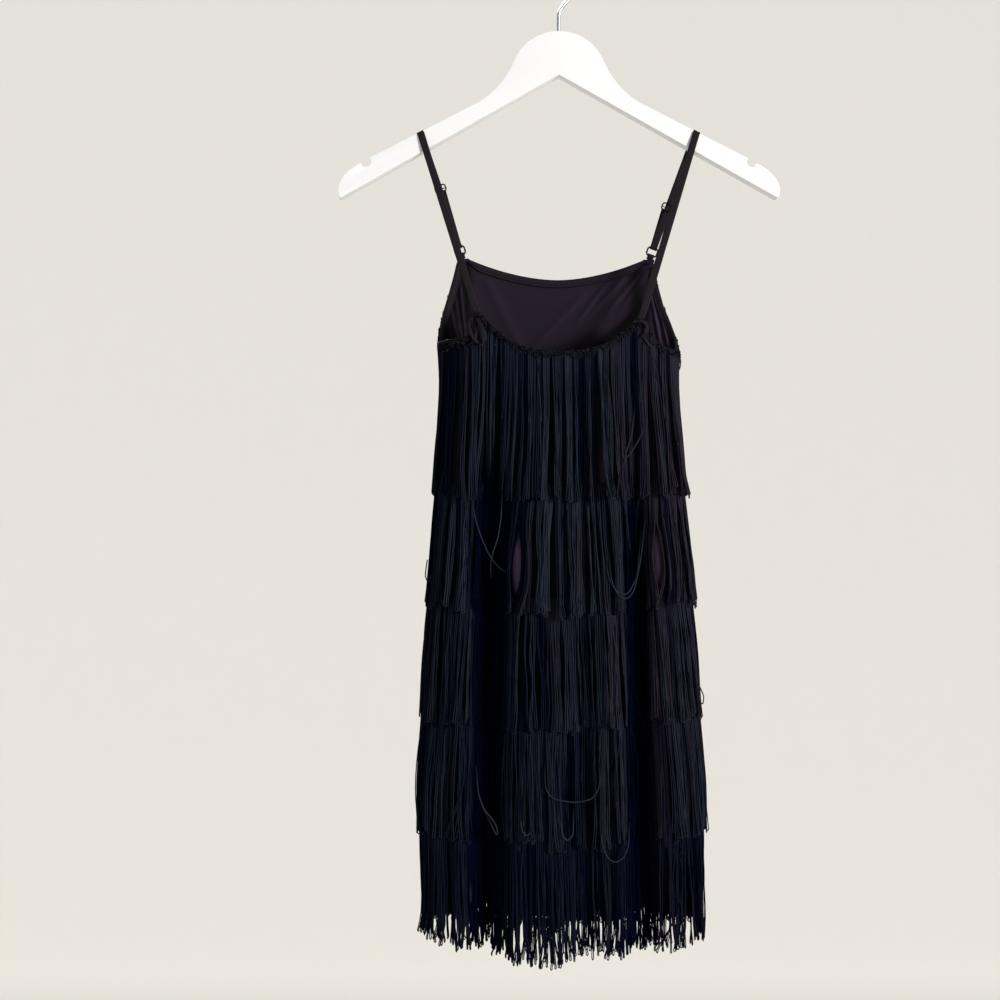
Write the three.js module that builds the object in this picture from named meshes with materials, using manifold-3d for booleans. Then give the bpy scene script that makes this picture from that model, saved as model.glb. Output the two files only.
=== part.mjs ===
// A black dance dress covered in five tiers of hanging fringe, with narrow adjustable straps,
// on a white wooden hanger. Millimetres, +Z up, the front faces -Y, left and right as seen from the front.
// The origin is where the hook rests on a rail: the inside of the top of its bend.
import * as THREE from 'three';
import { mergeVertices } from 'three/addons/utils/BufferGeometryUtils.js';
import Module from 'manifold-3d';

const wasm = await Module();
wasm.setup();

// Driving dimensions
const clearance = 0.3; // gap between pieces that are sewn or rest together
const cloth = 1.6; // knit with its lining
const locksPerTape = 22;
const columnsPerPanel = 2 * locksPerTape;
const rowHeights = [-430, -480, -535, -600, -690, -810, -932];

const hook = { wire: 3.8, radius: 18.8, stem: 21, lean: 38, tip: 205, inWood: 20, sides: 8 };
const wood = {
  thickness: 12,
  edge: 2, // rounding of its edges
  domeRadius: 48,
  domeEnd: 66, // degrees down from the top of the dome
  slope: 27.2, // of the arm's top edge, in degrees
  armStart: { across: 83, down: 72.6 }, // where the straight top edge begins
  tipStart: { across: 196, down: 130.7 },
  tip: { across: 220, down: 158 },
  corner: { across: 217.5, down: 166 },
  crotch: 43.5, // underside at the middle, below the top of the dome
  notch: { across: 192.2, below: 1.7, radius: 5 },
};

const hem = rowHeights.at(-1);
const seamDepth = 2; // the side seams' place along Y
const squareness = 2.6; // of the flattened tube seen from above

// The dress as a flattened tube, one row for each level that the outline turns at.
const tube = [
  { height: -380, left: -119, right: 120, front: 30, back: 16 },
  { height: -430, left: -116, right: 117, front: 35, back: 18 },
  { height: -535, left: -122, right: 124, front: 42, back: 20 },
  { height: -690, left: -132, right: 135, front: 50, back: 23 },
  { height: -840, left: -137, right: 142, front: 56, back: 25 },
  { height: -932, left: -132, right: 139, front: 58, back: 26 },
];

// Soft vertical folds. Depth is how far each runs into the dress, grown from start to full.
const front = {
  facing: -1,
  depthColumn: 'front',
  folds: [
    { top: -66, hem: -71, width: 17, depth: 33, start: -415, full: -610 },
    { top: 72, hem: 78, width: 14, depth: 26, start: -425, full: -610 },
    { top: 22, hem: 24, width: 15, depth: 5, start: -395, full: -470 },
    { top: -118, hem: -112, width: 13, depth: 8, start: -560, full: -760 },
  ],
};
const back = {
  facing: 1,
  depthColumn: 'back',
  folds: [
    { top: -52, hem: -58, width: 20, depth: 9, start: -420, full: -700 },
    { top: 38, hem: 44, width: 22, depth: 10, start: -400, full: -650 },
  ],
};

// Upper edges: a flat seat for each strap, the scooped neckline between and the armholes outside,
// those as rows of distance across and height, out to the side seams.
const underarm = { left: -379, right: -388 };
front.edge = {
  middle: -391,
  scoop: 2.7,
  left: {
    inner: 77, outer: 85, height: -353,
    armhole: [[85, -353], [86.2, -367], [89.5, -375], [97, -378], [119, underarm.left]],
  },
  right: {
    inner: 76, outer: 84, height: -359,
    armhole: [[84, -359], [87.5, -367.5], [92.5, -377], [99, -383.5], [110, -387], [120, underarm.right]],
  },
};
back.edge = {
  middle: -314,
  scoop: 1.8,
  left: {
    inner: 92, outer: 100, height: -293,
    armhole: [[100, -293], [104, -310], [109, -328], [115, -348], [118, -365], [119, underarm.left]],
  },
  right: {
    inner: 88, outer: 96, height: -294,
    armhole: [[96, -294], [99, -317], [105, -340], [112, -357], [118, -374], [120, underarm.right]],
  },
};

const binding = { width: 6.5, thickness: 1.1, gap: clearance };
const underarmBinding = { width: 2.6, thickness: 1.1, gap: 0.65 }; // its gap follows tight curves
const strap = { width: 7, thickness: 1.1 };
const strapOver = { left: 138, right: 137.5 }; // where each strap crosses the hanger
const sliderRise = { left: 62, right: 44 }; // above the ring
const ring = { wire: 1.5, wide: 10.4, tall: 9, corner: 2.6, sides: 6 };
const slider = { bar: 1, wide: 9.8, tall: 7.6, offset: 1.35 };
const tab = { width: 6.4, thickness: 1, rise: 5.2 };

// Fringe: a narrow tape sewn round the dress for each tier, with locks of strands under it.
// Each lock is one straight or bent hank. Rows of how far down it is, and its inner and outer faces.
const tape = { height: 8, inner: 1, outer: 3 };
const lock = { fill: 0.82, sway: 0.5 };
const straightLock = [{ down: 1, inner: 4.2, outer: 6.8 }];
const bentLock = [{ down: 0.5, inner: 3.4, outer: 6 }, { down: 1, inner: 4.2, outer: 6.8 }];
const valleyEase = 0.03; // how much more the fringe stands off the cloth for each mm of fold
const tiers = [
  { name: 1, bottom: -532, shape: bentLock },
  { name: 2, top: -519, bottom: -639, shape: bentLock },
  { name: 3, top: -628, bottom: -748, shape: straightLock },
  { name: 4, top: -738, bottom: -859, shape: straightLock },
  { name: 5, top: -850, bottom: -980, shape: straightLock },
];

const colours = {
  knit: new THREE.MeshStandardMaterial({ color: 0x16121b, roughness: 0.75, metalness: 0 }),
  fringe: new THREE.MeshStandardMaterial({ color: 0x0c0e16, roughness: 0.55, metalness: 0 }),
  trim: new THREE.MeshStandardMaterial({ color: 0x1b191e, roughness: 0.7, metalness: 0 }),
  coatedMetal: new THREE.MeshStandardMaterial({ color: 0x0d0d0f, roughness: 0.35, metalness: 0.4 }),
  paintedWood: new THREE.MeshStandardMaterial({ color: 0xf6f5f2, roughness: 0.4, metalness: 0 }),
  steel: new THREE.MeshStandardMaterial({ color: 0xc9c8c6, roughness: 0.22, metalness: 1 }),
};

const group = new THREE.Group();

function addPiece(name, geometry, material) {
  const mesh = new THREE.Mesh(geometry, material);
  mesh.name = name;
  group.add(mesh);
}

// Mesh helpers

function closedGeometry(points, faces) {
  let volume = 0;
  const crossed = new THREE.Vector3();
  for (let i = 0; i < faces.length; i += 3) {
    crossed.crossVectors(points[faces[i + 1]], points[faces[i + 2]]);
    volume += points[faces[i]].dot(crossed);
  }
  const outward = volume < 0 ? faces.toReversed() : faces;
  return new THREE.BufferGeometry().setFromPoints(points).setIndex(outward);
}

// A wall between two grids of points with the same rows and columns.
function wallBetween(outer, inner) {
  const rows = outer.length;
  const columns = outer[0].length;
  const points = [...outer.flat(), ...inner.flat()];
  const at = (layer, row, column) => layer * rows * columns + row * columns + column;
  const faces = [];
  const quad = (a, b, c, d) => faces.push(a, b, c, a, c, d);
  for (let r = 0; r < rows - 1; r++) {
    for (let c = 0; c < columns - 1; c++) {
      quad(at(0, r, c), at(0, r + 1, c), at(0, r + 1, c + 1), at(0, r, c + 1));
      quad(at(1, r, c), at(1, r, c + 1), at(1, r + 1, c + 1), at(1, r + 1, c));
    }
    quad(at(0, r, 0), at(1, r, 0), at(1, r + 1, 0), at(0, r + 1, 0));
    const end = columns - 1;
    quad(at(0, r, end), at(0, r + 1, end), at(1, r + 1, end), at(1, r, end));
  }
  for (let c = 0; c < columns - 1; c++) {
    quad(at(0, 0, c), at(0, 0, c + 1), at(1, 0, c + 1), at(1, 0, c));
    const end = rows - 1;
    quad(at(0, end, c), at(1, end, c), at(1, end, c + 1), at(0, end, c + 1));
  }
  return closedGeometry(points, faces);
}

// A flat section carried along frames, each an origin with its across and up directions.
function sweep(section, frames, loop = false) {
  const sections = frames.map((frame) => frame.section ?? section);
  const sides = sections[0].length;
  const points = frames.flatMap(({ origin, across, up }, i) =>
    sections[i].map((s) => origin.clone().addScaledVector(across, s.x).addScaledVector(up, s.y)));
  const faces = [];
  const steps = loop ? frames.length : frames.length - 1;
  for (let i = 0; i < steps; i++) {
    const next = (i + 1) % frames.length;
    for (let j = 0; j < sides; j++) {
      const k = (j + 1) % sides;
      const [a, b, c, d] = [i * sides + j, i * sides + k, next * sides + k, next * sides + j];
      faces.push(a, b, c, a, c, d);
    }
  }
  if (!loop) {
    const last = (frames.length - 1) * sides;
    const counterClockwise = THREE.ShapeUtils.area(sections[0]) > 0;
    for (const [a, b, c] of THREE.ShapeUtils.triangulateShape(sections[0], [])) {
      const [p, q] = counterClockwise ? [b, c] : [c, b];
      faces.push(a, q, p, last + a, last + p, last + q);
    }
  }
  return closedGeometry(points, faces);
}

function framesAlong(points, widthAt, loop = false) {
  const count = points.length;
  return points.map((origin, i) => {
    const ahead = points[loop ? (i + 1) % count : Math.min(i + 1, count - 1)];
    const behind = points[loop ? (i + count - 1) % count : Math.max(i - 1, 0)];
    const along = ahead.clone().sub(behind).normalize();
    const across = widthAt(i).clone();
    across.addScaledVector(along, -across.dot(along)).normalize();
    return { origin, across, up: along.cross(across) };
  });
}

function circle(radius, sides) {
  return Array.from({ length: sides }, (_, i) => {
    const turn = (i + 0.5) / sides * 2 * Math.PI;
    return new THREE.Vector2(Math.cos(turn) * radius, Math.sin(turn) * radius);
  });
}

function rectangle(width, height) {
  const [w, h] = [width / 2, height / 2];
  return [[-w, -h], [w, -h], [w, h], [-w, h]].map(([x, y]) => new THREE.Vector2(x, y));
}

function toSolid(geometry) {
  const bare = new THREE.BufferGeometry().setAttribute('position', geometry.getAttribute('position'));
  bare.setIndex(geometry.index);
  const merged = mergeVertices(bare, 1e-3);
  return new wasm.Manifold(new wasm.Mesh({
    numProp: 3,
    vertProperties: merged.attributes.position.array,
    triVerts: new Uint32Array(merged.index.array),
  }));
}

function fromSolid(solid) {
  const { vertProperties, triVerts } = solid.getMesh();
  const geometry = new THREE.BufferGeometry();
  geometry.setAttribute('position', new THREE.BufferAttribute(vertProperties, 3));
  return geometry.setIndex(new THREE.BufferAttribute(triVerts, 1));
}

// The surface of the dress

// A column of a table at any height, eased through its rows.
function valueAt(table, column, height) {
  const last = table.length - 1;
  if (height >= table[0].height) return table[0][column];
  if (height <= table[last].height) return table[last][column];
  const i = table.findIndex((row, n) => height >= table[n + 1].height);
  const [a, b] = [table[i], table[i + 1]];
  const before = table[Math.max(i - 1, 0)];
  const after = table[Math.min(i + 2, last)];
  const span = b.height - a.height;
  const slopeA = (b[column] - before[column]) / (b.height - before.height);
  const slopeB = (after[column] - a[column]) / (after.height - a.height);
  const t = (height - a.height) / span;
  const [t2, t3] = [t * t, t * t * t];
  return (2 * t3 - 3 * t2 + 1) * a[column] + (t3 - 2 * t2 + t) * span * slopeA
    + (3 * t2 - 2 * t3) * b[column] + (t3 - t2) * span * slopeB;
}

const power = (value, exponent) => Math.sign(value) * Math.abs(value) ** exponent;

// A point of a panel seen from above, with the depth of the folds there.
// The turn runs from 0 at the left seam to PI at the right one.
function planPoint(panel, turn, height, folded = true) {
  const left = valueAt(tube, 'left', height);
  const right = valueAt(tube, 'right', height);
  const across = (left + right) / 2 - (right - left) / 2 * power(Math.cos(turn), 2 / squareness);
  const bulge = Math.abs(Math.sin(turn)) ** (2 / squareness);
  let fold = 0;
  for (const { top, hem: end, width, depth, start, full } of folded ? panel.folds : []) {
    const grown = THREE.MathUtils.smoothstep(-height, -start, -full);
    const down = THREE.MathUtils.clamp((height - start) / (hem - start), 0, 1);
    const middle = THREE.MathUtils.lerp(top, end, down);
    fold += bulge * grown * depth * Math.exp(-(((across - middle) / width) ** 2));
  }
  const depth = bulge * valueAt(tube, panel.depthColumn, height) - fold;
  const place = new THREE.Vector2(across, seamDepth + panel.facing * depth);
  return Object.assign(place, { fold });
}

const turnSteps = 140;

// The turn that lies a share of the way round the panel, measured along the cloth.
function turnAt(panel, share, height) {
  const turns = Array.from({ length: turnSteps + 1 }, (_, i) => i / turnSteps * Math.PI);
  const places = turns.map((turn) => planPoint(panel, turn, height));
  const lengths = [0];
  for (let i = 1; i <= turnSteps; i++) lengths.push(lengths[i - 1] + places[i].distanceTo(places[i - 1]));
  const wanted = share * lengths[turnSteps];
  const i = Math.min(lengths.findIndex((length, n) => lengths[n + 1] >= wanted), turnSteps - 1);
  return (i + (wanted - lengths[i]) / (lengths[i + 1] - lengths[i])) / turnSteps * Math.PI;
}

function outwardAt(panel, turn, height, folded) {
  const step = 0.02;
  const a = planPoint(panel, Math.max(turn - step, 0), height, folded);
  const b = planPoint(panel, Math.min(turn + step, Math.PI), height, folded);
  const along = b.sub(a).normalize();
  return new THREE.Vector3(-along.y * panel.facing, along.x * panel.facing, 0);
}

function sideOf(across) {
  return across < 0 ? 'left' : 'right';
}

// How high the cloth reaches at a distance across the panel.
function edgeHeight(panel, across) {
  const seat = panel.edge[sideOf(across)];
  const far = Math.abs(across);
  if (far <= seat.inner) {
    const drop = 1 - (far / seat.inner) ** panel.edge.scoop;
    return seat.height + (panel.edge.middle - seat.height) * drop;
  }
  const next = seat.armhole.findIndex(([reach]) => far <= reach);
  if (next < 1) return seat.armhole.at(next)[1];
  const [[near, high], [away, low]] = [seat.armhole[next - 1], seat.armhole[next]];
  return high + (low - high) * (far - near) / (away - near);
}

const chest = tube[0].height;

// The share of the way round at which the panel reaches a distance across, at chest level.
function shareAt(panel, across) {
  let [low, high] = [0, 1];
  for (let i = 0; i < 30; i++) {
    const middle = (low + high) / 2;
    if (planPoint(panel, turnAt(panel, middle, chest), chest).x < across) low = middle;
    else high = middle;
  }
  return (low + high) / 2;
}

const seamShare = clearance / 2 / 300; // half the gap at a side seam

// Even columns, with one at each end of each strap's seat and at each row of the armholes.
function columnsOf(panel) {
  const fixed = ['left', 'right'].flatMap((side) => {
    const { inner, armhole } = panel.edge[side];
    const reaches = [inner, ...armhole.slice(0, -1).map(([reach]) => reach)];
    return reaches.map((reach) => shareAt(panel, side === 'left' ? -reach : reach));
  });
  const count = columnsPerPanel;
  const even = Array.from({ length: count + 1 }, (_, i) =>
    THREE.MathUtils.clamp(i / count, seamShare, 1 - seamShare));
  const apart = (c, i) => i === 0 || i === count || fixed.every((f) => Math.abs(f - c) > 0.35 / count);
  return [...even.filter(apart), ...fixed].sort((a, b) => a - b);
}

// The cloth's outer face as columns of rows. A row holds its place, its outward direction with the folds
// smoothed away, the depth of the folds, and the outward direction square to the cloth itself.
function makeGrid(panel) {
  panel.columns = columnsOf(panel);
  panel.grid = panel.columns.map((share) => {
    const top = edgeHeight(panel, planPoint(panel, turnAt(panel, share, chest), chest).x);
    const heights = [top, (top + rowHeights[0]) / 2, ...rowHeights];
    return heights.map((height) => {
      const turn = turnAt(panel, share, height);
      const place = planPoint(panel, turn, height);
      const smooth = outwardAt(panel, turn, height, false);
      const square = outwardAt(panel, turn, height, true);
      return [place.x, place.y, height, smooth.x, smooth.y, place.fold, square.x, square.y];
    });
  });
}

makeGrid(front);
makeGrid(back);

const mix = (a, b, t) => a.map((value, i) => value + (b[i] - value) * t);

function downColumn(column, height) {
  const next = column.findIndex((row) => row[2] <= height);
  if (next === 0) return column[0].with(2, height);
  if (next < 0) return column.at(-1).with(2, height);
  const [a, b] = [column[next - 1], column[next]];
  return mix(a, b, (height - a[2]) / (b[2] - a[2]));
}

// A row of the grid at any share of the way round and any height, on the flat facets of the cloth.
function clothAt(panel, share, height) {
  const { columns, grid } = panel;
  const next = Math.max(columns.findIndex((c) => c >= share), 1);
  const [a, b] = [columns[next - 1], columns[next]];
  const t = THREE.MathUtils.clamp((share - a) / (b - a), 0, 1);
  return mix(downColumn(grid[next - 1], height), downColumn(grid[next], height), t);
}

// A point moved out from the cloth, a little further within the folds.
function offCloth(panel, share, height, out) {
  const [x, y, z, outX, outY, fold] = clothAt(panel, share, height);
  const reach = out * (1 + valleyEase * fold);
  return new THREE.Vector3(x + outX * reach, y + outY * reach, z);
}

function inCloth(row, depth) {
  return new THREE.Vector3(row[0] - row[6] * depth, row[1] - row[7] * depth, row[2]);
}

function panelWall({ grid }) {
  const layer = (depth) => grid[0].map((_, r) => grid.map((column) => inCloth(column[r], depth)));
  return wallBetween(layer(0), layer(cloth));
}

addPiece('front_panel', panelWall(front), colours.knit);
addPiece('back_panel', panelWall(back), colours.knit);

// Bindings: folded tape over the neck and armhole edges, seen on the inside

// The upper edge of a panel from one distance across to another, kept clear of the straps' seats.
function edgeRun(panel, from, to) {
  const inset = 0.9 / 300;
  const [a, b] = [shareAt(panel, from), shareAt(panel, to)];
  const { columns, grid } = panel;
  const isSeam = (share) => share < seamShare * 2 || share > 1 - seamShare * 2;
  const ends = [isSeam(a) ? a - inset : a + inset, isSeam(b) ? b + inset : b - inset];
  const at = (share) => {
    const next = columns.findIndex((c) => c >= share);
    const t = (share - columns[next - 1]) / (columns[next] - columns[next - 1]);
    return mix(grid[next - 1][0], grid[next][0], t);
  };
  const between = grid.filter((_, i) => columns[i] > ends[0] && columns[i] < ends[1]);
  const inner = between.map((column) => column[0]);
  const start = isSeam(a) ? [] : [at(ends[0])];
  const finish = isSeam(b) ? [] : [at(ends[1])];
  return [...start, ...inner, ...finish];
}

// The run goes with the cloth on its left hand side, seen from outside, so the tape lies on the inside.
function bindingAlong(run, { width, thickness, gap }) {
  const reach = cloth + 2 * gap;
  const lip = gap + thickness;
  const section = (w) => [
    [0, -lip], [reach + thickness, -lip], [reach + thickness, w], [reach, w], [reach, -gap], [0, -gap],
  ].map(([x, y]) => new THREE.Vector2(x, y));
  const origins = run.map((row) => inCloth(row, 0));
  const frames = run.map((row, i) => {
    const ahead = origins[Math.min(i + 1, run.length - 1)];
    const behind = origins[Math.max(i - 1, 0)];
    const along = ahead.clone().sub(behind).normalize();
    const across = new THREE.Vector3(-row[6], -row[7], 0);
    across.addScaledVector(along, -across.dot(along)).normalize();
    const fromEnd = Math.min(origins[i].distanceTo(origins[0]), origins[i].distanceTo(origins.at(-1)));
    const taper = THREE.MathUtils.lerp(0.2, 1, Math.min(fromEnd / 14, 1));
    return { origin: origins[i], across, up: along.clone().cross(across), section: section(width * taper) };
  });
  return sweep(null, frames);
}

function neckBinding(panel) {
  const run = edgeRun(panel, -panel.edge.left.inner, panel.edge.right.inner);
  return bindingAlong(panel === front ? run.reverse() : run, binding);
}

function armholeBinding(side) {
  const isLeft = side === 'left';
  const seam = isLeft ? -200 : 200;
  const runOn = (panel) => {
    const seat = (isLeft ? -1 : 1) * panel.edge[side].outer;
    return isLeft ? edgeRun(panel, seam, seat) : edgeRun(panel, seat, seam);
  };
  // The seam is passed once, midway between the two panels.
  const [near, far] = [runOn(front), runOn(back)];
  if (isLeft) near.reverse();
  else far.reverse();
  const seamRow = mix(near.pop(), far.shift(), 0.5);
  const run = [...near, seamRow.with(6, isLeft ? -1 : 1).with(7, 0), ...far];
  return bindingAlong(isLeft ? run : run.reverse(), underarmBinding);
}

addPiece('front_neck_binding', neckBinding(front), colours.trim);
addPiece('back_neck_binding', neckBinding(back), colours.trim);
addPiece('left_armhole_binding', armholeBinding('left'), colours.trim);
addPiece('right_armhole_binding', armholeBinding('right'), colours.trim);

// Fringe

const tapeLip = binding.gap + binding.thickness; // the first tape reaches as high as the binding

function tapeTop(panel, tier, share) {
  if (tier.top !== undefined) return tier.top;
  const { columns, grid } = panel;
  const next = Math.max(columns.findIndex((c) => c >= share), 1);
  const [a, b] = [columns[next - 1], columns[next]];
  const t = THREE.MathUtils.clamp((share - a) / (b - a), 0, 1);
  const topOf = ([[across, , height]]) => {
    const { inner, outer } = panel.edge[sideOf(across)];
    const onSeat = Math.abs(across) > inner - 1 && Math.abs(across) < outer + 1;
    return height + (onSeat ? 0 : tapeLip);
  };
  return THREE.MathUtils.lerp(topOf(grid[next - 1]), topOf(grid[next]), t);
}

// One tape and its locks as a single skin. Across a lock the tape has three columns, and its lower face
// there opens into the lock, whose further sections have four corners.
function fringeOn(panel, tier) {
  const points = [];
  const faces = [];
  const add = (point) => points.push(point) - 1;
  const quad = (a, b, c, d) => faces.push(a, b, c, a, c, d);
  const pitch = (1 - 2 * seamShare) / locksPerTape;

  // Four corners of the tape at a share: outer top, outer low, inner low, inner top.
  const tapeCorners = (share) => {
    const top = tapeTop(panel, tier, share);
    const low = top - tape.height;
    return [[top, tape.outer], [low, tape.outer], [low, tape.inner], [top, tape.inner]]
      .map(([height, out]) => add(offCloth(panel, share, height, out)));
  };
  // Between two columns of the tape, open below over a lock.
  const tapeCell = (a, b, open) => {
    for (let j = 0; j < 4; j++) {
      if (open && j === 1) continue;
      const k = (j + 1) % 4;
      quad(a[j], a[k], b[k], b[j]);
    }
  };
  const closeEnd = ([a, b, c, d], flip) => (flip ? quad(d, c, b, a) : quad(a, b, c, d));

  let previous = null;
  for (let i = 0; i < locksPerTape; i++) {
    const middle = seamShare + (i + 0.5) * pitch;
    const half = pitch * lock.fill / 2;
    const shares = [middle - half, middle, middle + half];
    const [left, centre, right] = shares.map(tapeCorners);
    if (previous) tapeCell(previous, left, false);
    else closeEnd(left, true);
    tapeCell(left, centre, true);
    tapeCell(centre, right, true);
    previous = right;

    const uneven = Math.sin(i * 2.7 + tier.name * 1.9);
    const root = tapeTop(panel, tier, middle) - tape.height;
    const tip = tier.bottom + 3 + 3 * uneven;
    let section = null;
    for (const { down, inner, outer } of tier.shape) {
      const height = THREE.MathUtils.lerp(root, tip, down);
      const sway = lock.sway * down * pitch * (1 - lock.fill) * uneven;
      const places = shares.map((share) => THREE.MathUtils.clamp(share + sway, seamShare, 1 - seamShare));
      const [a, m, b] = places.map((share) => offCloth(panel, share, height, inner));
      const [, , , outX, outY] = clothAt(panel, places[1], height);
      const outward = new THREE.Vector3(outX, outY, 0);
      const lift = Math.max(m.clone().sub(a.clone().add(b).multiplyScalar(0.5)).dot(outward), 0);
      const corner = (share, out) =>
        add(offCloth(panel, share, height, out).addScaledVector(outward, lift));
      const lower = [
        corner(places[0], outer), corner(places[2], outer),
        corner(places[2], inner), corner(places[0], inner),
      ];
      if (section) {
        for (let j = 0; j < 4; j++) quad(section[(j + 1) % 4], section[j], lower[j], lower[(j + 1) % 4]);
      } else {
        const [outerLeft, outerRight, innerRight, innerLeft] = lower;
        faces.push(left[1], outerLeft, centre[1]);
        faces.push(centre[1], outerLeft, outerRight);
        faces.push(centre[1], outerRight, right[1]);
        faces.push(right[2], innerRight, centre[2]);
        faces.push(centre[2], innerRight, innerLeft);
        faces.push(centre[2], innerLeft, left[2]);
        quad(right[1], outerRight, innerRight, right[2]);
        quad(left[2], innerLeft, outerLeft, left[1]);
      }
      section = lower;
    }
    quad(section[3], section[2], section[1], section[0]);
  }
  closeEnd(previous, false);
  return closedGeometry(points, faces);
}

for (const tier of tiers) {
  addPiece(`fringe_front_${tier.name}`, fringeOn(front, tier), colours.fringe);
  addPiece(`fringe_back_${tier.name}`, fringeOn(back, tier), colours.fringe);
}

// Hanger

const bendCentre = hook.wire / 2 - hook.radius;
const hookLean = THREE.MathUtils.degToRad(hook.lean);
const elbow = bendCentre - hook.radius / Math.sin(hookLean);
const woodTop = elbow - hook.stem;

function hookWire() {
  const points = [new THREE.Vector3(0, 0, woodTop - hook.inWood), new THREE.Vector3(0, 0, woodTop)];
  const easing = 5; // length each side of the elbow that its bend takes
  const lower = new THREE.Vector3(0, 0, elbow - easing);
  const upper = new THREE.Vector3(Math.sin(hookLean) * easing, 0, elbow + Math.cos(hookLean) * easing);
  points.push(...new THREE.QuadraticBezierCurve3(lower, new THREE.Vector3(0, 0, elbow), upper).getPoints(3));
  const tip = THREE.MathUtils.degToRad(hook.tip);
  const steps = 22;
  for (let i = 0; i <= steps; i++) {
    const angle = THREE.MathUtils.lerp(-hookLean, tip, i / steps);
    const arm = new THREE.Vector3(Math.cos(angle), 0, Math.sin(angle)).multiplyScalar(hook.radius);
    points.push(arm.add(new THREE.Vector3(0, 0, bendCentre)));
  }
  const sideways = new THREE.Vector3(0, 1, 0);
  return sweep(circle(hook.wire / 2, hook.sides), framesAlong(points, () => sideways));
}

addPiece('hanger_hook', hookWire(), colours.steel);

const slope = THREE.MathUtils.degToRad(wood.slope);

// Height of the straight top edge of an arm above the dress, at a distance across.
function armTop(across) {
  return woodTop - wood.armStart.down - (across - wood.armStart.across) * Math.tan(slope);
}

function hangerWood() {
  const end = THREE.MathUtils.degToRad(wood.domeEnd);
  const domeEdge = {
    across: Math.sin(end) * wood.domeRadius,
    down: (1 - Math.cos(end)) * wood.domeRadius,
  };
  // Where the dome's last tangent meets the line of the arm's top edge.
  const gap = { across: wood.armStart.across - domeEdge.across, down: wood.armStart.down - domeEdge.down };
  const reach = (gap.down - gap.across * Math.tan(slope)) / (Math.sin(end) - Math.cos(end) * Math.tan(slope));
  const meet = {
    across: domeEdge.across + reach * Math.cos(end),
    down: domeEdge.down + reach * Math.sin(end),
  };
  const half = new THREE.Path();
  half.absarc(0, -wood.domeRadius, wood.domeRadius, Math.PI / 2, Math.PI / 2 - end, true);
  half.quadraticCurveTo(meet.across, -meet.down, wood.armStart.across, -wood.armStart.down);
  half.lineTo(wood.tipStart.across, -wood.tipStart.down);
  half.bezierCurveTo(208, -137, 219.5, -146, wood.tip.across, -wood.tip.down);
  half.lineTo(wood.corner.across, -wood.corner.down);
  const right = half.getPoints(6);
  const left = right.slice(1).reverse().map((p) => new THREE.Vector2(-p.x, p.y));
  const outline = [...right, new THREE.Vector2(0, -wood.crotch), ...left];
  const geometry = new THREE.ExtrudeGeometry(new THREE.Shape(outline), {
    depth: wood.thickness - 2 * wood.edge,
    bevelThickness: wood.edge,
    bevelSize: wood.edge,
    bevelOffset: -wood.edge,
    bevelSegments: 1,
  });
  geometry.deleteAttribute('normal');
  geometry.deleteAttribute('uv');
  geometry.rotateX(Math.PI / 2);
  geometry.translate(0, wood.thickness / 2 - wood.edge, woodTop);
  let solid = toSolid(geometry);
  const holeRadius = hook.wire / 2 + clearance;
  const stemHole = new THREE.CylinderGeometry(holeRadius, holeRadius, hook.inWood + 10, 16);
  stemHole.rotateX(Math.PI / 2);
  stemHole.translate(0, 0, woodTop + 5 - hook.inWood / 2 - clearance);
  solid = solid.subtract(toSolid(stemHole));
  for (const sign of [-1, 1]) {
    const { across, below, radius } = wood.notch;
    const notch = new THREE.CylinderGeometry(radius, radius, wood.thickness * 2, 18);
    notch.translate(sign * across, 0, armTop(across) - below);
    solid = solid.subtract(toSolid(notch));
  }
  return fromSolid(solid);
}

addPiece('hanger_wood', hangerWood(), colours.paintedWood);

// Straps, rings and sliders

// A closed outline with round corners, in the plane of a ring or slider.
function roundedLoop(wide, tall, corner) {
  const points = [];
  for (const [sx, sy, start] of [[1, -1, 3], [1, 1, 0], [-1, 1, 1], [-1, -1, 2]]) {
    for (let i = 0; i <= 2; i++) {
      const angle = (start + i / 2) * Math.PI / 2;
      const [middleX, middleY] = [sx * (wide / 2 - corner), sy * (tall / 2 - corner)];
      points.push([middleX + Math.cos(angle) * corner, middleY + Math.sin(angle) * corner]);
    }
  }
  return points;
}

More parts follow.
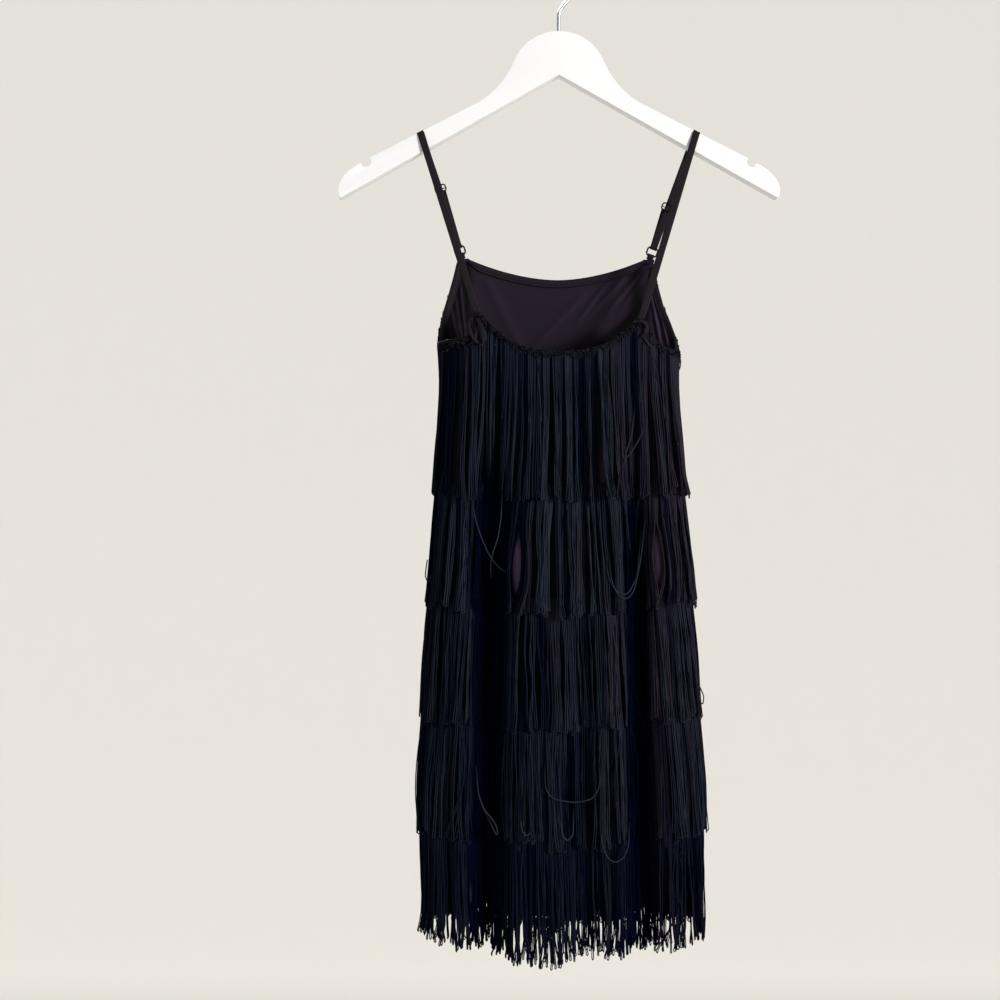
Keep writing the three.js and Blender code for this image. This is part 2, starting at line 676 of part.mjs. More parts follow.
function strapSet(side) {
  const sign = side === 'left' ? -1 : 1;
  const over = strapOver[side];
  const nearSeat = front.edge[side];
  const farSeat = back.edge[side];

  // Middle of the cloth's top edge at a strap's seat.
  const seatPoint = (panel, seat) => {
    const share = shareAt(panel, sign * (seat.inner + seat.outer) / 2);
    return inCloth(clothAt(panel, share, seat.height), cloth / 2);
  };
  const near = seatPoint(front, nearSeat);
  const far = seatPoint(back, farSeat);

  // Over the arm: square to its slope, clear of the wood by the gap.
  const along = new THREE.Vector3(Math.cos(slope), 0, -sign * Math.sin(slope));
  const lift = new THREE.Vector3(sign * Math.sin(slope), 0, Math.cos(slope));
  const bend = wood.edge + clearance + strap.thickness / 2;
  const cornerAt = (depth) =>
    new THREE.Vector3(sign * over, depth, armTop(over)).addScaledVector(lift, -wood.edge);
  const toY = (y) => new THREE.Vector3(0, y, 0);
  const flat = wood.thickness / 2 - wood.edge;
  const points = [];
  const turns = [];
  const push = (point, turn) => {
    points.push(point);
    turns.push(turn);
  };
  const nearStart = near.clone().add(new THREE.Vector3(0, 0, clearance));
  const nearTop = cornerAt(-flat).add(toY(-bend));
  push(nearStart, 0);
  push(nearStart.clone().add(new THREE.Vector3(0, 0, 2)), 0);
  for (const t of [0.4, 0.8]) push(nearStart.clone().lerp(nearTop, t), t);
  for (let i = 0; i <= 4; i++) {
    const angle = i / 4 * Math.PI / 2;
    push(cornerAt(-flat).add(toY(-bend * Math.cos(angle))).addScaledVector(lift, bend * Math.sin(angle)), 1);
  }
  for (let i = 4; i >= 0; i--) {
    const angle = i / 4 * Math.PI / 2;
    push(cornerAt(flat).add(toY(bend * Math.cos(angle))).addScaledVector(lift, bend * Math.sin(angle)), 1);
  }
  const farTop = points.at(-1);

  // The back run, down to the ring over the far seat.
  const up = farTop.clone().sub(far).normalize();
  const width = new THREE.Vector3(0, 1, 0).cross(up).normalize();
  const rear = up.clone().cross(width).normalize().multiplyScalar(-1);
  if (rear.y < 0) rear.negate();
  const hug = ring.wire / 2 + clearance + strap.thickness / 2 + 0.2;
  const ringCentre = far.clone().addScaledVector(up, clearance + tab.rise + ring.tall / 2);
  const topBar = ringCentre.clone().addScaledVector(up, ring.tall / 2);
  const lowBar = ringCentre.clone().addScaledVector(up, -ring.tall / 2);
  const mainEnd = topBar.clone().addScaledVector(rear, -hug);
  for (const t of [0.1, 0.4, 0.7, 1]) push(farTop.clone().lerp(mainEnd, t), 1 - t);
  for (let i = 1; i <= 5; i++) {
    const angle = i / 5 * Math.PI;
    const around = rear.clone().multiplyScalar(-hug * Math.cos(angle));
    push(topBar.clone().add(around).addScaledVector(up, -hug * Math.sin(angle)), 0);
  }
  const onMain = (rise) => mainEnd.clone().addScaledVector(farTop.clone().sub(mainEnd).normalize(), rise);
  const sliderCentre = onMain(sliderRise[side]);
  const returnGap = slider.offset + clearance / 2;
  const returnTop = onMain(sliderRise[side] - slider.bar - clearance).addScaledVector(rear, returnGap);
  for (const t of [0.5, 1]) push(topBar.clone().addScaledVector(rear, hug).lerp(returnTop, t), 0);
  const widthAt = (i) => width.clone().lerp(along, turns[i]);
  const strapSection = rectangle(strap.width, strap.thickness);
  addPiece(`${side}_strap`, sweep(strapSection, framesAlong(points, widthAt)), colours.trim);

  const inPlane = (centre, [x, y]) => centre.clone().addScaledVector(width, x).addScaledVector(up, y);
  const wireLoop = (centre, loop, wire) => {
    const places = loop.map((p) => inPlane(centre, p));
    return sweep(circle(wire / 2, ring.sides), framesAlong(places, () => rear, true), true);
  };
  const ringOutline = roundedLoop(ring.wide, ring.tall, ring.corner);
  addPiece(`${side}_ring`, wireLoop(ringCentre, ringOutline, ring.wire), colours.coatedMetal);

  // The slider's frame lies before the strap and its middle bar behind it.
  const frameCentre = sliderCentre.clone().addScaledVector(rear, -slider.offset);
  const rails = roundedLoop(slider.wide, slider.tall, 2);
  let sliderSolid = toSolid(wireLoop(frameCentre, rails, slider.bar));
  const barEnds = [-1, 1].flatMap((end) => [0, 2 * slider.offset].map((back) =>
    inPlane(frameCentre, [end * slider.wide / 2, 0]).addScaledVector(rear, back)));
  const bar = [barEnds[0], barEnds[1], barEnds[3], barEnds[2]];
  const squareBar = rectangle(slider.bar * 0.9, slider.bar * 0.9);
  sliderSolid = sliderSolid.add(toSolid(sweep(squareBar, framesAlong(bar, () => up))));
  addPiece(`${side}_slider`, fromSolid(sliderSolid), colours.coatedMetal);

  // The tab: a narrow loop of cloth from the seat round the ring's lower bar.
  const hole = ring.wire / 2 + clearance;
  const arch = hole + tab.thickness;
  const outline = new THREE.Shape();
  const foot = -tab.rise;
  outline.moveTo(-tab.thickness, foot);
  outline.lineTo(tab.thickness, foot);
  outline.lineTo(arch, -arch * 0.6);
  outline.absarc(0, 0, arch, 0, Math.PI, false);
  outline.lineTo(-arch, -arch * 0.6);
  const eye = new THREE.Path();
  eye.absarc(0, 0, hole, 0, 2 * Math.PI, true);
  outline.holes.push(eye);
  const across = { depth: tab.width, bevelEnabled: false, curveSegments: 6 };
  const loop = new THREE.ExtrudeGeometry(outline, across);
  loop.deleteAttribute('normal');
  loop.deleteAttribute('uv');
  loop.translate(0, 0, -tab.width / 2);
  const sidewise = rear.clone().cross(up);
  const feet = loop.getAttribute('position').clone();
  loop.applyMatrix4(new THREE.Matrix4().makeBasis(rear, up, sidewise).setPosition(lowBar));
  const placed = loop.getAttribute('position');
  for (let i = 0; i < placed.count; i++) {
    if (feet.getY(i) > foot + 0.01) continue;
    const rise = (farSeat.height + clearance - placed.getZ(i)) / up.z;
    placed.setXYZ(i, placed.getX(i) + up.x * rise, placed.getY(i) + up.y * rise, farSeat.height + clearance);
  }
  addPiece(`${side}_ring_tab`, loop, colours.trim);
}

strapSet('left');
strapSet('right');

export default group;
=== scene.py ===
import math

import bpy
import numpy as np
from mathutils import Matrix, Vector


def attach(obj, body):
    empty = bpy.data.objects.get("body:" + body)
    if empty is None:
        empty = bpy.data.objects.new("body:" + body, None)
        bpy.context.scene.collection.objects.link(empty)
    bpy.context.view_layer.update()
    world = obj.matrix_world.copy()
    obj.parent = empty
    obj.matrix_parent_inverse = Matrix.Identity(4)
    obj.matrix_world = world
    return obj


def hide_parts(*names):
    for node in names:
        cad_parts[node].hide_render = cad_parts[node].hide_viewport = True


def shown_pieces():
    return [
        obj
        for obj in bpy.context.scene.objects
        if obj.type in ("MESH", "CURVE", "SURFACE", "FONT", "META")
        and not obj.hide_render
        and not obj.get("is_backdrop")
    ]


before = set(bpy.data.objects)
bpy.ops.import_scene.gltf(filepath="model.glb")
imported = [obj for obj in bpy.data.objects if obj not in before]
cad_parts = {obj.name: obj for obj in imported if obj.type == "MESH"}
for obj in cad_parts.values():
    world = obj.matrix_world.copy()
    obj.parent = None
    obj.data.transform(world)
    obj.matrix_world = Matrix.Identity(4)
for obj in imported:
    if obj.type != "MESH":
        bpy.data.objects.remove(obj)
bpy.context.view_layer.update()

# lengths below are in millimetres, in the frame of the solids; they become metres in the mesh
mm = 0.001
photoView = {"eye": (-58.5, -1200.0, -535.3), "lens": 43.2, "sensor": 36.0, "clip": (0.05, 50),
             "focalPixels": 1200, "middlePixel": 500}


def makeCamera():
    look = photoView
    data = bpy.data.cameras.new("camera")
    data.lens, data.sensor_width = look["lens"], look["sensor"]
    data.clip_start, data.clip_end = look["clip"]
    camera = bpy.data.objects.new("camera", data)
    bpy.context.collection.objects.link(camera)
    camera.location = Vector(look["eye"]) * mm
    camera.rotation_euler = (math.radians(90), 0, 0)
    bpy.context.scene.camera = camera


makeCamera()
print("camera set")

socketNames = {"baseColor": "Base Color", "roughness": "Roughness", "metallic": "Metallic",
               "normal": "Normal", "specular": "Specular IOR Level", "specularTint": "Specular Tint",
               "coat": "Coat Weight", "coatRoughness": "Coat Roughness", "sheen": "Sheen Weight",
               "sheenTint": "Sheen Tint", "sheenRoughness": "Sheen Roughness"}


# a socket in a finish, so that arithmetic on it adds Math nodes
class Wire:
    def __init__(self, tree, socket):
        self.tree, self.socket = tree, socket

    def math(self, operation, *others):
        return self.tree.node("ShaderNodeMath", {"operation": operation}, [self, *others])

    def __add__(self, other):
        return self.math("ADD", other)

    def __sub__(self, other):
        return self.math("SUBTRACT", other)

    def __rsub__(self, other):
        return self.tree.node("ShaderNodeMath", {"operation": "SUBTRACT"}, [other, self])

    def __mul__(self, other):
        return self.math("MULTIPLY", other)

    __radd__ = __add__
    __rmul__ = __mul__


class Finish:
    def __init__(self, name):
        self.material = bpy.data.materials.new(name)
        self.material.use_nodes = True
        self.nodes, self.links = self.material.node_tree.nodes, self.material.node_tree.links
        self.surface = self.nodes["Principled BSDF"]

    def node(self, kind, settings=None, inputs=None, output=0):
        made = self.nodes.new(kind)
        for key, value in (settings or {}).items():
            setattr(made, key, value)
        pairs = inputs.items() if isinstance(inputs, dict) else enumerate(inputs or [])
        for key, value in pairs:
            self.put(made.inputs[key], value)
        return Wire(self, made.outputs[output])

    def put(self, socket, value):
        if isinstance(value, Wire):
            self.links.new(value.socket, socket)
        elif isinstance(value, tuple) and len(value) == 3 and len(getattr(socket, "default_value", ())) == 4:
            socket.default_value = (*value, 1)
        else:
            socket.default_value = value

    def set(self, **values):
        for key, value in values.items():
            self.put(self.surface.inputs[socketNames[key]], value)

    def blend(self, factor, one, two, clamped=True):
        made = self.nodes.new("ShaderNodeMix")
        made.data_type, made.clamp_factor = "RGBA", clamped
        for socket, value in ((made.inputs[0], factor), (made.inputs[6], one), (made.inputs[7], two)):
            self.put(socket, value)
        return Wire(self, made.outputs[2])

    def bump(self, height, strength, distance):
        made = self.nodes.new("ShaderNodeBump")
        made.inputs["Strength"].default_value = strength
        made.inputs["Distance"].default_value = distance
        self.put(made.inputs["Height"], height)
        return Wire(self, made.outputs[0])

    def place(self):
        return self.node("ShaderNodeTexCoord", output=3)

    def own(self, key):
        # a value that each point of the mesh carries
        return self.node("ShaderNodeAttribute", {"attribute_name": key}, output=2)

    def uv(self):
        made = self.node("ShaderNodeUVMap")
        parts = self.nodes.new("ShaderNodeSeparateXYZ")
        self.put(parts.inputs[0], made)
        return made, Wire(self, parts.outputs[0]), Wire(self, parts.outputs[1])

    def noise(self, vector, scale, detail=2.0, rough=0.5):
        inputs = {"Vector": vector, "Scale": scale, "Detail": detail, "Roughness": rough}
        return self.node("ShaderNodeTexNoise", {}, inputs)

    def stretched(self, vector, scale):
        return self.node("ShaderNodeMapping", {"vector_type": "POINT"}, {"Vector": vector, "Scale": scale})

    def grained(self, grain, colour, darker):
        return self.blend(grain, tuple(c * darker for c in colour), colour)


# turns of the cord round and along it, its clouds, and how rough and deep they are
cordTwist = {"round": 6.2832, "along": 2600.0, "cloud": 22.0, "base": 0.72, "cloudy": 0.5,
             "rough": 0.6, "rougher": 0.35, "bump": 0.35, "deep": 0.0003}


def cordFinish(name, look):
    # twisted cord: fine turns along each strand, a tint of its own for each, and a tone that is partly its
    # own and partly painted light and shade
    finish = Finish(name)
    twist = cordTwist
    _, around, along = finish.uv()
    tone = finish.own("tone")
    turns = (around * twist["round"] + along * twist["along"]).math("SINE")
    cloud = finish.noise(finish.place(), twist["cloud"], 3.0)
    shade = tone * (twist["base"] + cloud * twist["cloudy"])
    light = finish.blend(finish.own("tint"), look["blue"], look["plum"])
    finish.set(baseColor=finish.blend(shade, look["dark"], light),
               roughness=twist["rough"] + (1 - tone) * twist["rougher"],
               specular=look["specular"], specularTint=look["gloss"],
               normal=finish.bump(turns, twist["bump"], twist["deep"]))
    return finish.material


def knitFinish(name, look):
    # fine rib of a stretch knit, with a faint bloom, and the painted light and shade that each point carries,
    # down to a deep near-black
    finish = Finish(name)
    vector, across, down = finish.uv()
    ribs = (across * look["ribsAcross"]).math("SINE") * 0.5 + (down * look["ribsDown"]).math("SINE") * 0.35
    mottled = finish.noise(vector, look["mottle"], 4.0, 0.6)
    wide = finish.noise(vector, look["cloud"], 3.0)
    colour = finish.blend(wide * 0.6 + mottled * 0.4, look["dark"], look["light"])
    finish.set(baseColor=finish.blend(finish.own("tone"), look["deep"], colour, clamped=False),
               roughness=0.72 + mottled * 0.15, specular=look["specular"],
               normal=finish.bump(ribs + mottled * 0.8, 0.3, 0.0002),
               sheen=look["sheen"], sheenRoughness=0.4, sheenTint=look["bloom"])
    return finish.material


weaveLook = {"ribs": 6283.0, "cords": 9000.0, "grain": 500.0}


def elasticFinish(name, dark, light):
    # woven elastic: cross ribs and fine cords along it
    finish = Finish(name)
    vector, across, along = finish.uv()
    ribs = (along * weaveLook["ribs"]).math("SINE")
    cords = (across * weaveLook["cords"]).math("SINE")
    grain = finish.noise(vector, weaveLook["grain"], 2.0)
    finish.set(baseColor=finish.blend(grain * 0.5 + ribs * 0.2 + 0.3, dark, light),
               roughness=0.55 + grain * 0.15, specular=0.07,
               normal=finish.bump(ribs * 0.6 + cords * 0.4, 0.35, 0.00025))
    return finish.material


paintLook = {"dusty": (0.915, 0.913, 0.912), "clean": (0.95, 0.949, 0.948), "stretch": (9.0, 30.0, 60.0)}


def paintFinish(name, look):
    finish = Finish(name)
    place = finish.place()
    grain = finish.noise(finish.stretched(place, look["stretch"]), 6.0, 5.0, 0.6)
    dust = finish.noise(place, 14.0, 4.0)
    finish.set(baseColor=finish.blend(dust * 0.5 + grain * 0.5, look["dusty"], look["clean"]),
               roughness=0.3 + grain * 0.18, specular=0.5, coat=0.25, coatRoughness=0.25,
               normal=finish.bump(grain, 0.12, 0.0006))
    return finish.material


def metalFinish(name, colour, metallic, low, high):
    finish = Finish(name)
    grain = finish.noise(finish.stretched(finish.place(), (60.0, 60.0, 400.0)), 10.0, 3.0)
    finish.set(baseColor=finish.grained(grain, colour, 0.88), metallic=metallic, specular=0.15,
               roughness=low + grain * (high - low), normal=finish.bump(grain, 0.08, 0.0002))
    return finish.material


def stageFinish(name, colour, strength):
    finish = Finish(name)
    grain = finish.noise(finish.place(), 30.0, 4.0)
    finish.set(baseColor=finish.grained(grain, colour, 0.985), roughness=0.9, specular=0.05,
               normal=finish.bump(grain, strength, 0.002))
    return finish.material


# dark is the bluish colour that strands take in painted shade; blue and plum are their own casts
fringeLook = {"dark": (0.0001, 0.0004, 0.0072), "blue": (0.0165, 0.0208, 0.0330),
              "plum": (0.0245, 0.0194, 0.0298), "specular": 0.045, "gloss": (0.78, 0.86, 1.0)}
# a lighter copy of the cord colours for the heading knots and loose threads: painted highlight on the same
# yarn
knotLook = {"dark": (0.0026, 0.0028, 0.0058), "blue": (0.0250, 0.0262, 0.0400),
            "plum": (0.0300, 0.0250, 0.0380), "specular": 0.08, "gloss": (0.9, 0.92, 1.0)}
# the knit's own mottled colours, and deep, the near-black that painted shade takes it down to
knitLook = {"dark": (0.0230, 0.0150, 0.0290), "light": (0.0370, 0.0245, 0.0450),
            "deep": (0.0009, 0.0009, 0.0020), "bloom": (0.85, 0.68, 1.0), "specular": 0.06, "sheen": 0.02,
            "ribsAcross": 4400.0, "ribsDown": 5200.0, "mottle": 160.0, "cloud": 12.0}
cordBlack = cordFinish("cordFringe", fringeLook)
knotBlack = cordFinish("cordHeading", knotLook)
knitBlack = knitFinish("stretchKnit", knitLook)
tapeBlack = elasticFinish("wovenTape", (0.0046, 0.0032, 0.0056), (0.0195, 0.0138, 0.0215))
tapeFringe = elasticFinish("fringeTape", (0.0010, 0.0010, 0.0018), (0.0042, 0.0042, 0.0068))
strapBlack = elasticFinish("strapElastic", (0.0058, 0.0042, 0.0062), (0.0205, 0.0152, 0.0200))
wireBlack = metalFinish("coatedWire", (0.004, 0.004, 0.005), 0.0, 0.45, 0.6)
paintWhite = paintFinish("whitePaint", paintLook)
wireSteel = metalFinish("platedWire", (0.86, 0.85, 0.835), 1.0, 0.2, 0.34)
print("finishes made")


tubeRows = [  # height, left, right, front, back
    (-380, -119, 120, 30, 16),
    (-430, -116, 117, 35, 18),
    (-535, -122, 124, 42, 20),
    (-690, -132, 135, 50, 23),
    (-840, -137, 142, 56, 25),
    (-932, -132, 139, 58, 26),
]
# the knit hangs lower by sideDrop at the side seams, over sideReach of its girth
tube = {"clearance": 0.3, "cloth": 1.6, "hem": -932.0, "sideDrop": 14.0, "sideReach": 0.24,
        "seamDepth": 2.0, "squareness": 2.6}

frontPanel = {
    "facing": -1, "column": 3, "middle": -391, "scoop": 2.7,
    "folds": [  # top, hem, width, depth, start, full
        (-66, -71, 17, 33, -415, -610),
        (72, 78, 14, 26, -425, -610),
        (22, 24, 15, 5, -395, -470),
        (-118, -112, 13, 8, -560, -760),
    ],
    "left": {"inner": 77, "outer": 85, "height": -353,
             "armhole": [(85, -353), (86.2, -367), (89.5, -375), (97, -378), (119, -379)]},
    "right": {"inner": 76, "outer": 84, "height": -359,
              "armhole": [(84, -359), (87.5, -367.5), (92.5, -377), (99, -383.5), (110, -387), (120, -388)]},
}
backPanel = {
    "facing": 1, "column": 4, "middle": -314, "scoop": 1.8,
    "folds": [(-52, -58, 20, 9, -420, -700), (38, 44, 22, 10, -400, -650)],
    "left": {"inner": 92, "outer": 100, "height": -293,
             "armhole": [(100, -293), (104, -310), (109, -328), (115, -348), (118, -365), (119, -379)]},
    "right": {"inner": 88, "outer": 96, "height": -294,
              "armhole": [(96, -294), (99, -317), (105, -340), (112, -357), (118, -374), (120, -388)]},
}


def easedColumn(column, height):
    x = np.array([-row[0] for row in tubeRows], float)
    y = np.array([row[column] for row in tubeRows], float)
    before, after = np.maximum(np.arange(len(x)) - 1, 0), np.minimum(np.arange(len(x)) + 1, len(x) - 1)
    slope = (y[after] - y[before]) / (x[after] - x[before])
    h = np.clip(-np.asarray(height, float), x[0], x[-1])
    i = np.clip(np.searchsorted(x, h, side="right") - 1, 0, len(x) - 2)
    span = x[i + 1] - x[i]
    t = (h - x[i]) / span
    return ((2 * t**3 - 3 * t**2 + 1) * y[i] + (t**3 - 2 * t**2 + t) * span * slope[i]
            + (3 * t**2 - 2 * t**3) * y[i + 1] + (t**3 - t**2) * span * slope[i + 1])


def smooth(value):
    value = np.clip(value, 0, 1)
    return value * value * (3 - 2 * value)


def planPoints(panel, turn, height, folded=True):
    left, right = easedColumn(1, height), easedColumn(2, height)
    power = 2 / tube["squareness"]
    cosine = np.cos(turn)
    across = (left + right) / 2 - (right - left) / 2 * np.sign(cosine) * np.abs(cosine) ** power
    bulge = np.abs(np.sin(turn)) ** power
    fold = np.zeros_like(across)
    for top, end, width, depth, start, full in panel["folds"] if folded else []:
        grown = smooth((start - height) / (start - full))
        down = np.clip((height - start) / (tube["hem"] - start), 0, 1)
        middle = top + (end - top) * down
        fold = fold + bulge * grown * depth * np.exp(-(((across - middle) / width) ** 2))
    depth = bulge * easedColumn(panel["column"], height) - fold
    return across, tube["seamDepth"] + panel["facing"] * depth, fold


def outwardAt(panel, turn, height, folded):
    nudge = gridLook["nudge"]
    ax, ay, _ = planPoints(panel, np.maximum(turn - nudge, 0), height, folded)
    bx, by, _ = planPoints(panel, np.minimum(turn + nudge, math.pi), height, folded)
    length = np.hypot(bx - ax, by - ay)
    return -(by - ay) / length * panel["facing"], (bx - ax) / length * panel["facing"]


# the surface of each panel is worked out once, on rows by height and columns by share of its girth
gridLook = {"top": -280.0, "bottom": -1001, "step": 4.0, "shares": 401, "turns": 1201, "nudge": 0.02}
evenShares = np.linspace(0, 1, gridLook["shares"])
chestHeight = -380.0
seamShare = 0.15 / 300


def makeGrid(panel):
    look = gridLook
    turns = np.linspace(0, math.pi, look["turns"])
    rows, lengths = [], []
    for height in np.arange(look["top"], look["bottom"], -look["step"]):
        x, y, _ = planPoints(panel, turns, height)
        length = np.concatenate([[0], np.cumsum(np.hypot(np.diff(x), np.diff(y)))])
        at = np.interp(evenShares * length[-1], length, turns)
        x, y, fold = planPoints(panel, at, height)
        rows.append([x, y, *outwardAt(panel, at, height, False), fold, *outwardAt(panel, at, height, True)])
        lengths.append(length[-1])
    panel["grid"], panel["lengths"] = np.array(rows), np.array(lengths)
    panel["chest"] = sample(panel, evenShares, np.full(look["shares"], chestHeight))[0]


def sample(panel, share, height):
    # across, depth, outward past the folds, depth of the fold, outward from the fold
    grid = panel["grid"]
    row = np.clip((gridLook["top"] - np.asarray(height, float)) / gridLook["step"], 0, len(grid) - 1.001)
    column = np.clip(np.asarray(share, float), 0, 1) * (gridLook["shares"] - 1.001)
    r, c = row.astype(int), column.astype(int)
    down, along = row - r, column - c
    return (grid[r, :, c].T * ((1 - down) * (1 - along)) + grid[r + 1, :, c].T * (down * (1 - along))
            + grid[r, :, c + 1].T * ((1 - down) * along) + grid[r + 1, :, c + 1].T * (down * along))


def offCloth(panel, share, height, out, fromFold=False):
    share, height, out = np.broadcast_arrays(share, height, out)
    found = sample(panel, share.ravel(), height.ravel())
    nx, ny = found[5:7] if fromFold else found[2:4]
    points = [found[0] + nx * out.ravel(), found[1] + ny * out.ravel(), height.ravel().astype(float)]
    return np.stack(points, -1).reshape(*share.shape, 3)


def inCloth(panel, share, height, depth):
    return offCloth(panel, share, height, -np.asarray(depth, float), True)


def shareAt(panel, across):
    return float(np.interp(across, panel["chest"], evenShares))


def edgeAt(panel, share):
    across = np.interp(share, evenShares, panel["chest"])
    heights = np.empty_like(across, float)
    for side, chosen in (("left", across < 0), ("right", across >= 0)):
        seat, far = panel[side], np.abs(across[chosen])
        inner = seat["inner"]
        dip = (panel["middle"] - seat["height"]) * (1 - (np.minimum(far, inner) / inner) ** panel["scoop"])
        arm = np.interp(far, *zip(*seat["armhole"]))
        heights[chosen] = np.where(far <= inner, seat["height"] + dip, arm)
    return heights


def hemAt(share):
    return tube["hem"] - tube["sideDrop"] * (1 - smooth(np.minimum(share, 1 - share) / tube["sideReach"]))


makeGrid(frontPanel)
makeGrid(backPanel)


def meshObject(name, points, faces, material, uvs=None, attributes=None):
    mesh = bpy.data.meshes.new(name)
    faces = faces if isinstance(faces, list) else faces.tolist()
    mesh.from_pydata((np.asarray(points) * mm).tolist(), [], faces)
    mesh.update()
    if uvs is not None:
        layer = mesh.uv_layers.new(name="UVMap")
        loops = np.empty(len(mesh.loops), np.int32)
        mesh.loops.foreach_get("vertex_index", loops)
        layer.data.foreach_set("uv", np.asarray(uvs, np.float32)[loops].ravel())
    for key, values in (attributes or {}).items():
        addValues(mesh, key, values)
    mesh.shade_smooth()
    mesh.materials.append(material)
    piece = bpy.data.objects.new(name, mesh)
    bpy.context.collection.objects.link(piece)
    return piece


def addValues(mesh, key, values):
    layer = mesh.attributes.new(key, "FLOAT", "POINT")
    layer.data.foreach_set("value", np.asarray(values, np.float32))


def lengthAlong(points):
    return np.concatenate([[0], np.cumsum(np.linalg.norm(np.diff(points, axis=0), axis=1))])


def evenPath(points, length, count, rounds):
    # even steps along the length, then smoothed between the ends
    even = np.linspace(0, length[-1], count)
    path = np.stack([np.interp(even, length, points[:, i]) for i in range(3)], -1)
    for _ in range(rounds):
        path[1:-1] = (path[:-2] + path[1:-1] * 2 + path[2:]) / 4
    return path


def circle(sides, radius, turned=0):
    angles = (np.arange(sides) + turned) / sides * 2 * math.pi
    return np.stack([np.cos(angles), np.sin(angles)], -1) * radius


def quads(*corners):
    return np.stack([corner.ravel() for corner in corners], -1)


def shell(name, outer, inner, material):
    # a closed wall between two grids of points, with a map along and down the cloth
    rows, columns, _ = outer.shape
    points = np.concatenate([outer.reshape(-1, 3), inner.reshape(-1, 3)])
    index = np.arange(rows * columns).reshape(rows, columns)
    under = index + rows * columns
    faces = np.concatenate([
        quads(index[:-1, :-1], index[1:, :-1], index[1:, 1:], index[:-1, 1:]),
        quads(under[:-1, :-1], under[:-1, 1:], under[1:, 1:], under[1:, :-1]),
        quads(index[:-1, 0], under[:-1, 0], under[1:, 0], index[1:, 0]),
        quads(index[:-1, -1], index[1:, -1], under[1:, -1], under[:-1, -1]),
        quads(index[0, :-1], index[0, 1:], under[0, 1:], under[0, :-1]),
        quads(index[-1, :-1], under[-1, :-1], under[-1, 1:], index[-1, 1:]),
    ])
    u = np.broadcast_to(lengthAlong(outer[rows // 2]), (rows, columns)) * mm
    v = outer[..., 2] * mm
    uvs = np.tile(np.stack([u.ravel(), v.ravel()], -1), (2, 1))
    # face out: the first face's normal should lean the way the outer grid stands off the inner one
    a, b, c = points[faces[0][:3]]
    if np.dot(np.cross(b - a, c - a), outer[0, 0] - inner[0, 0]) < 0:
        faces = faces[:, ::-1]
    return meshObject(name, points, faces, material, uvs)


def sweptPiece(name, origins, across, up, section, material, closed=False, mapped=True):
    # section is (sides, 2) or (stations, sides, 2), laid out along across and up at each station
    stations = len(origins)
    section = np.broadcast_to(section, (stations, *np.shape(section)[-2:]))
    sides = section.shape[1]
    points = origins[:, None] + across[:, None] * section[..., :1] + up[:, None] * section[..., 1:]
    ring = np.arange(stations * sides).reshape(stations, sides)
    here, after = (ring, np.roll(ring, -1, 0)) if closed else (ring[:-1], ring[1:])
    faces = np.stack([here, np.roll(here, -1, 1), np.roll(after, -1, 1), after], -1).reshape(-1, 4).tolist()
    if not closed:
        faces += [ring[0, ::-1].tolist(), ring[-1].tolist()]
    uvs = None
    if mapped:
        girth, length = np.broadcast_arrays(lengthAlong(section[0])[None], lengthAlong(origins)[:, None])
        uvs = np.stack([girth, length], -1).reshape(-1, 2) * mm
    return meshObject(name, points.reshape(-1, 3), faces, material, uvs)


def framesAlong(origins, across):
    along = np.gradient(origins, axis=0)
    along /= np.linalg.norm(along, axis=1, keepdims=True)
    across = across - along * np.sum(across * along, axis=1, keepdims=True)
    across /= np.linalg.norm(across, axis=1, keepdims=True)
    return across, np.cross(along, across)


def strandMesh(name, paths, tonesAndShade, tints, radius, sides, material):
    # paths is (strands, stations, 3); every strand is one closed cord in a joined mesh
    strands, stations, _ = paths.shape
    least = 1e-9
    leaning = np.array([0.12, 1.0, 0.05])  # no strand runs this way
    along = np.gradient(paths, axis=1)
    along /= np.maximum(np.linalg.norm(along, axis=2, keepdims=True), least)
    across = np.cross(along, leaning)
    across /= np.maximum(np.linalg.norm(across, axis=2, keepdims=True), least)
    up = np.cross(across, along)
    rim = circle(sides, radius, 0.5)
    points = paths[:, :, None] + across[:, :, None] * rim[:, :1] + up[:, :, None] * rim[:, 1:]
    index = np.arange(strands * stations * sides).reshape(strands, stations, sides)
    here, below = index[:, :-1], index[:, 1:]
    faces = np.stack([here, below, np.roll(below, -1, 2), np.roll(here, -1, 2)], -1).reshape(-1, 4).tolist()
    faces += index[:, 0].tolist() + index[:, -1, ::-1].tolist()
    steps = np.linalg.norm(np.diff(paths, axis=1), axis=2)
    length = np.concatenate([np.zeros((strands, 1)), np.cumsum(steps, 1)], 1)
    around, down = np.broadcast_arrays(np.arange(sides)[None, None] / sides, length[..., None] * mm)
    uvs = np.stack([around, down], -1).reshape(-1, 2)
    spread = {}
    for key, values in (("tone", tonesAndShade), ("tint", tints)):
        values = values if np.ndim(values) == 2 else np.asarray(values)[:, None]
        spread[key] = np.broadcast_to(values[..., None], (strands, stations, sides)).ravel()
    return meshObject(name, points.reshape(-1, 3), faces, material, uvs, spread)


def selectOnly(*pieces):
    bpy.ops.object.select_all(action="DESELECT")
    for piece in pieces:
        piece.select_set(True)
    bpy.context.view_layer.objects.active = pieces[0]


def joined(name, pieces):
    selectOnly(*pieces)
    bpy.ops.object.join()
    pieces[0].name = pieces[0].data.name = name
    return pieces[0]


def settle(piece, slot, *nodes):
    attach(piece, "root")
    if nodes:
        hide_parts(*nodes)
    return piece


# where strands part and the knit shows: panel, tier, across, height, half width, half height, light
partings = [
    ("front", 2, -42, -599, 5.6, 34, 2.3),
    ("front", 2, 94, -594, 5.2, 37, 0.9),
    ("front", 5, -86, -916, 2.2, 20, 0.45),
    ("back", 3, 30, -700, 3.6, 34, 0.8),
    ("back", 1, -48, -470, 3.0, 36, 0.8),
]

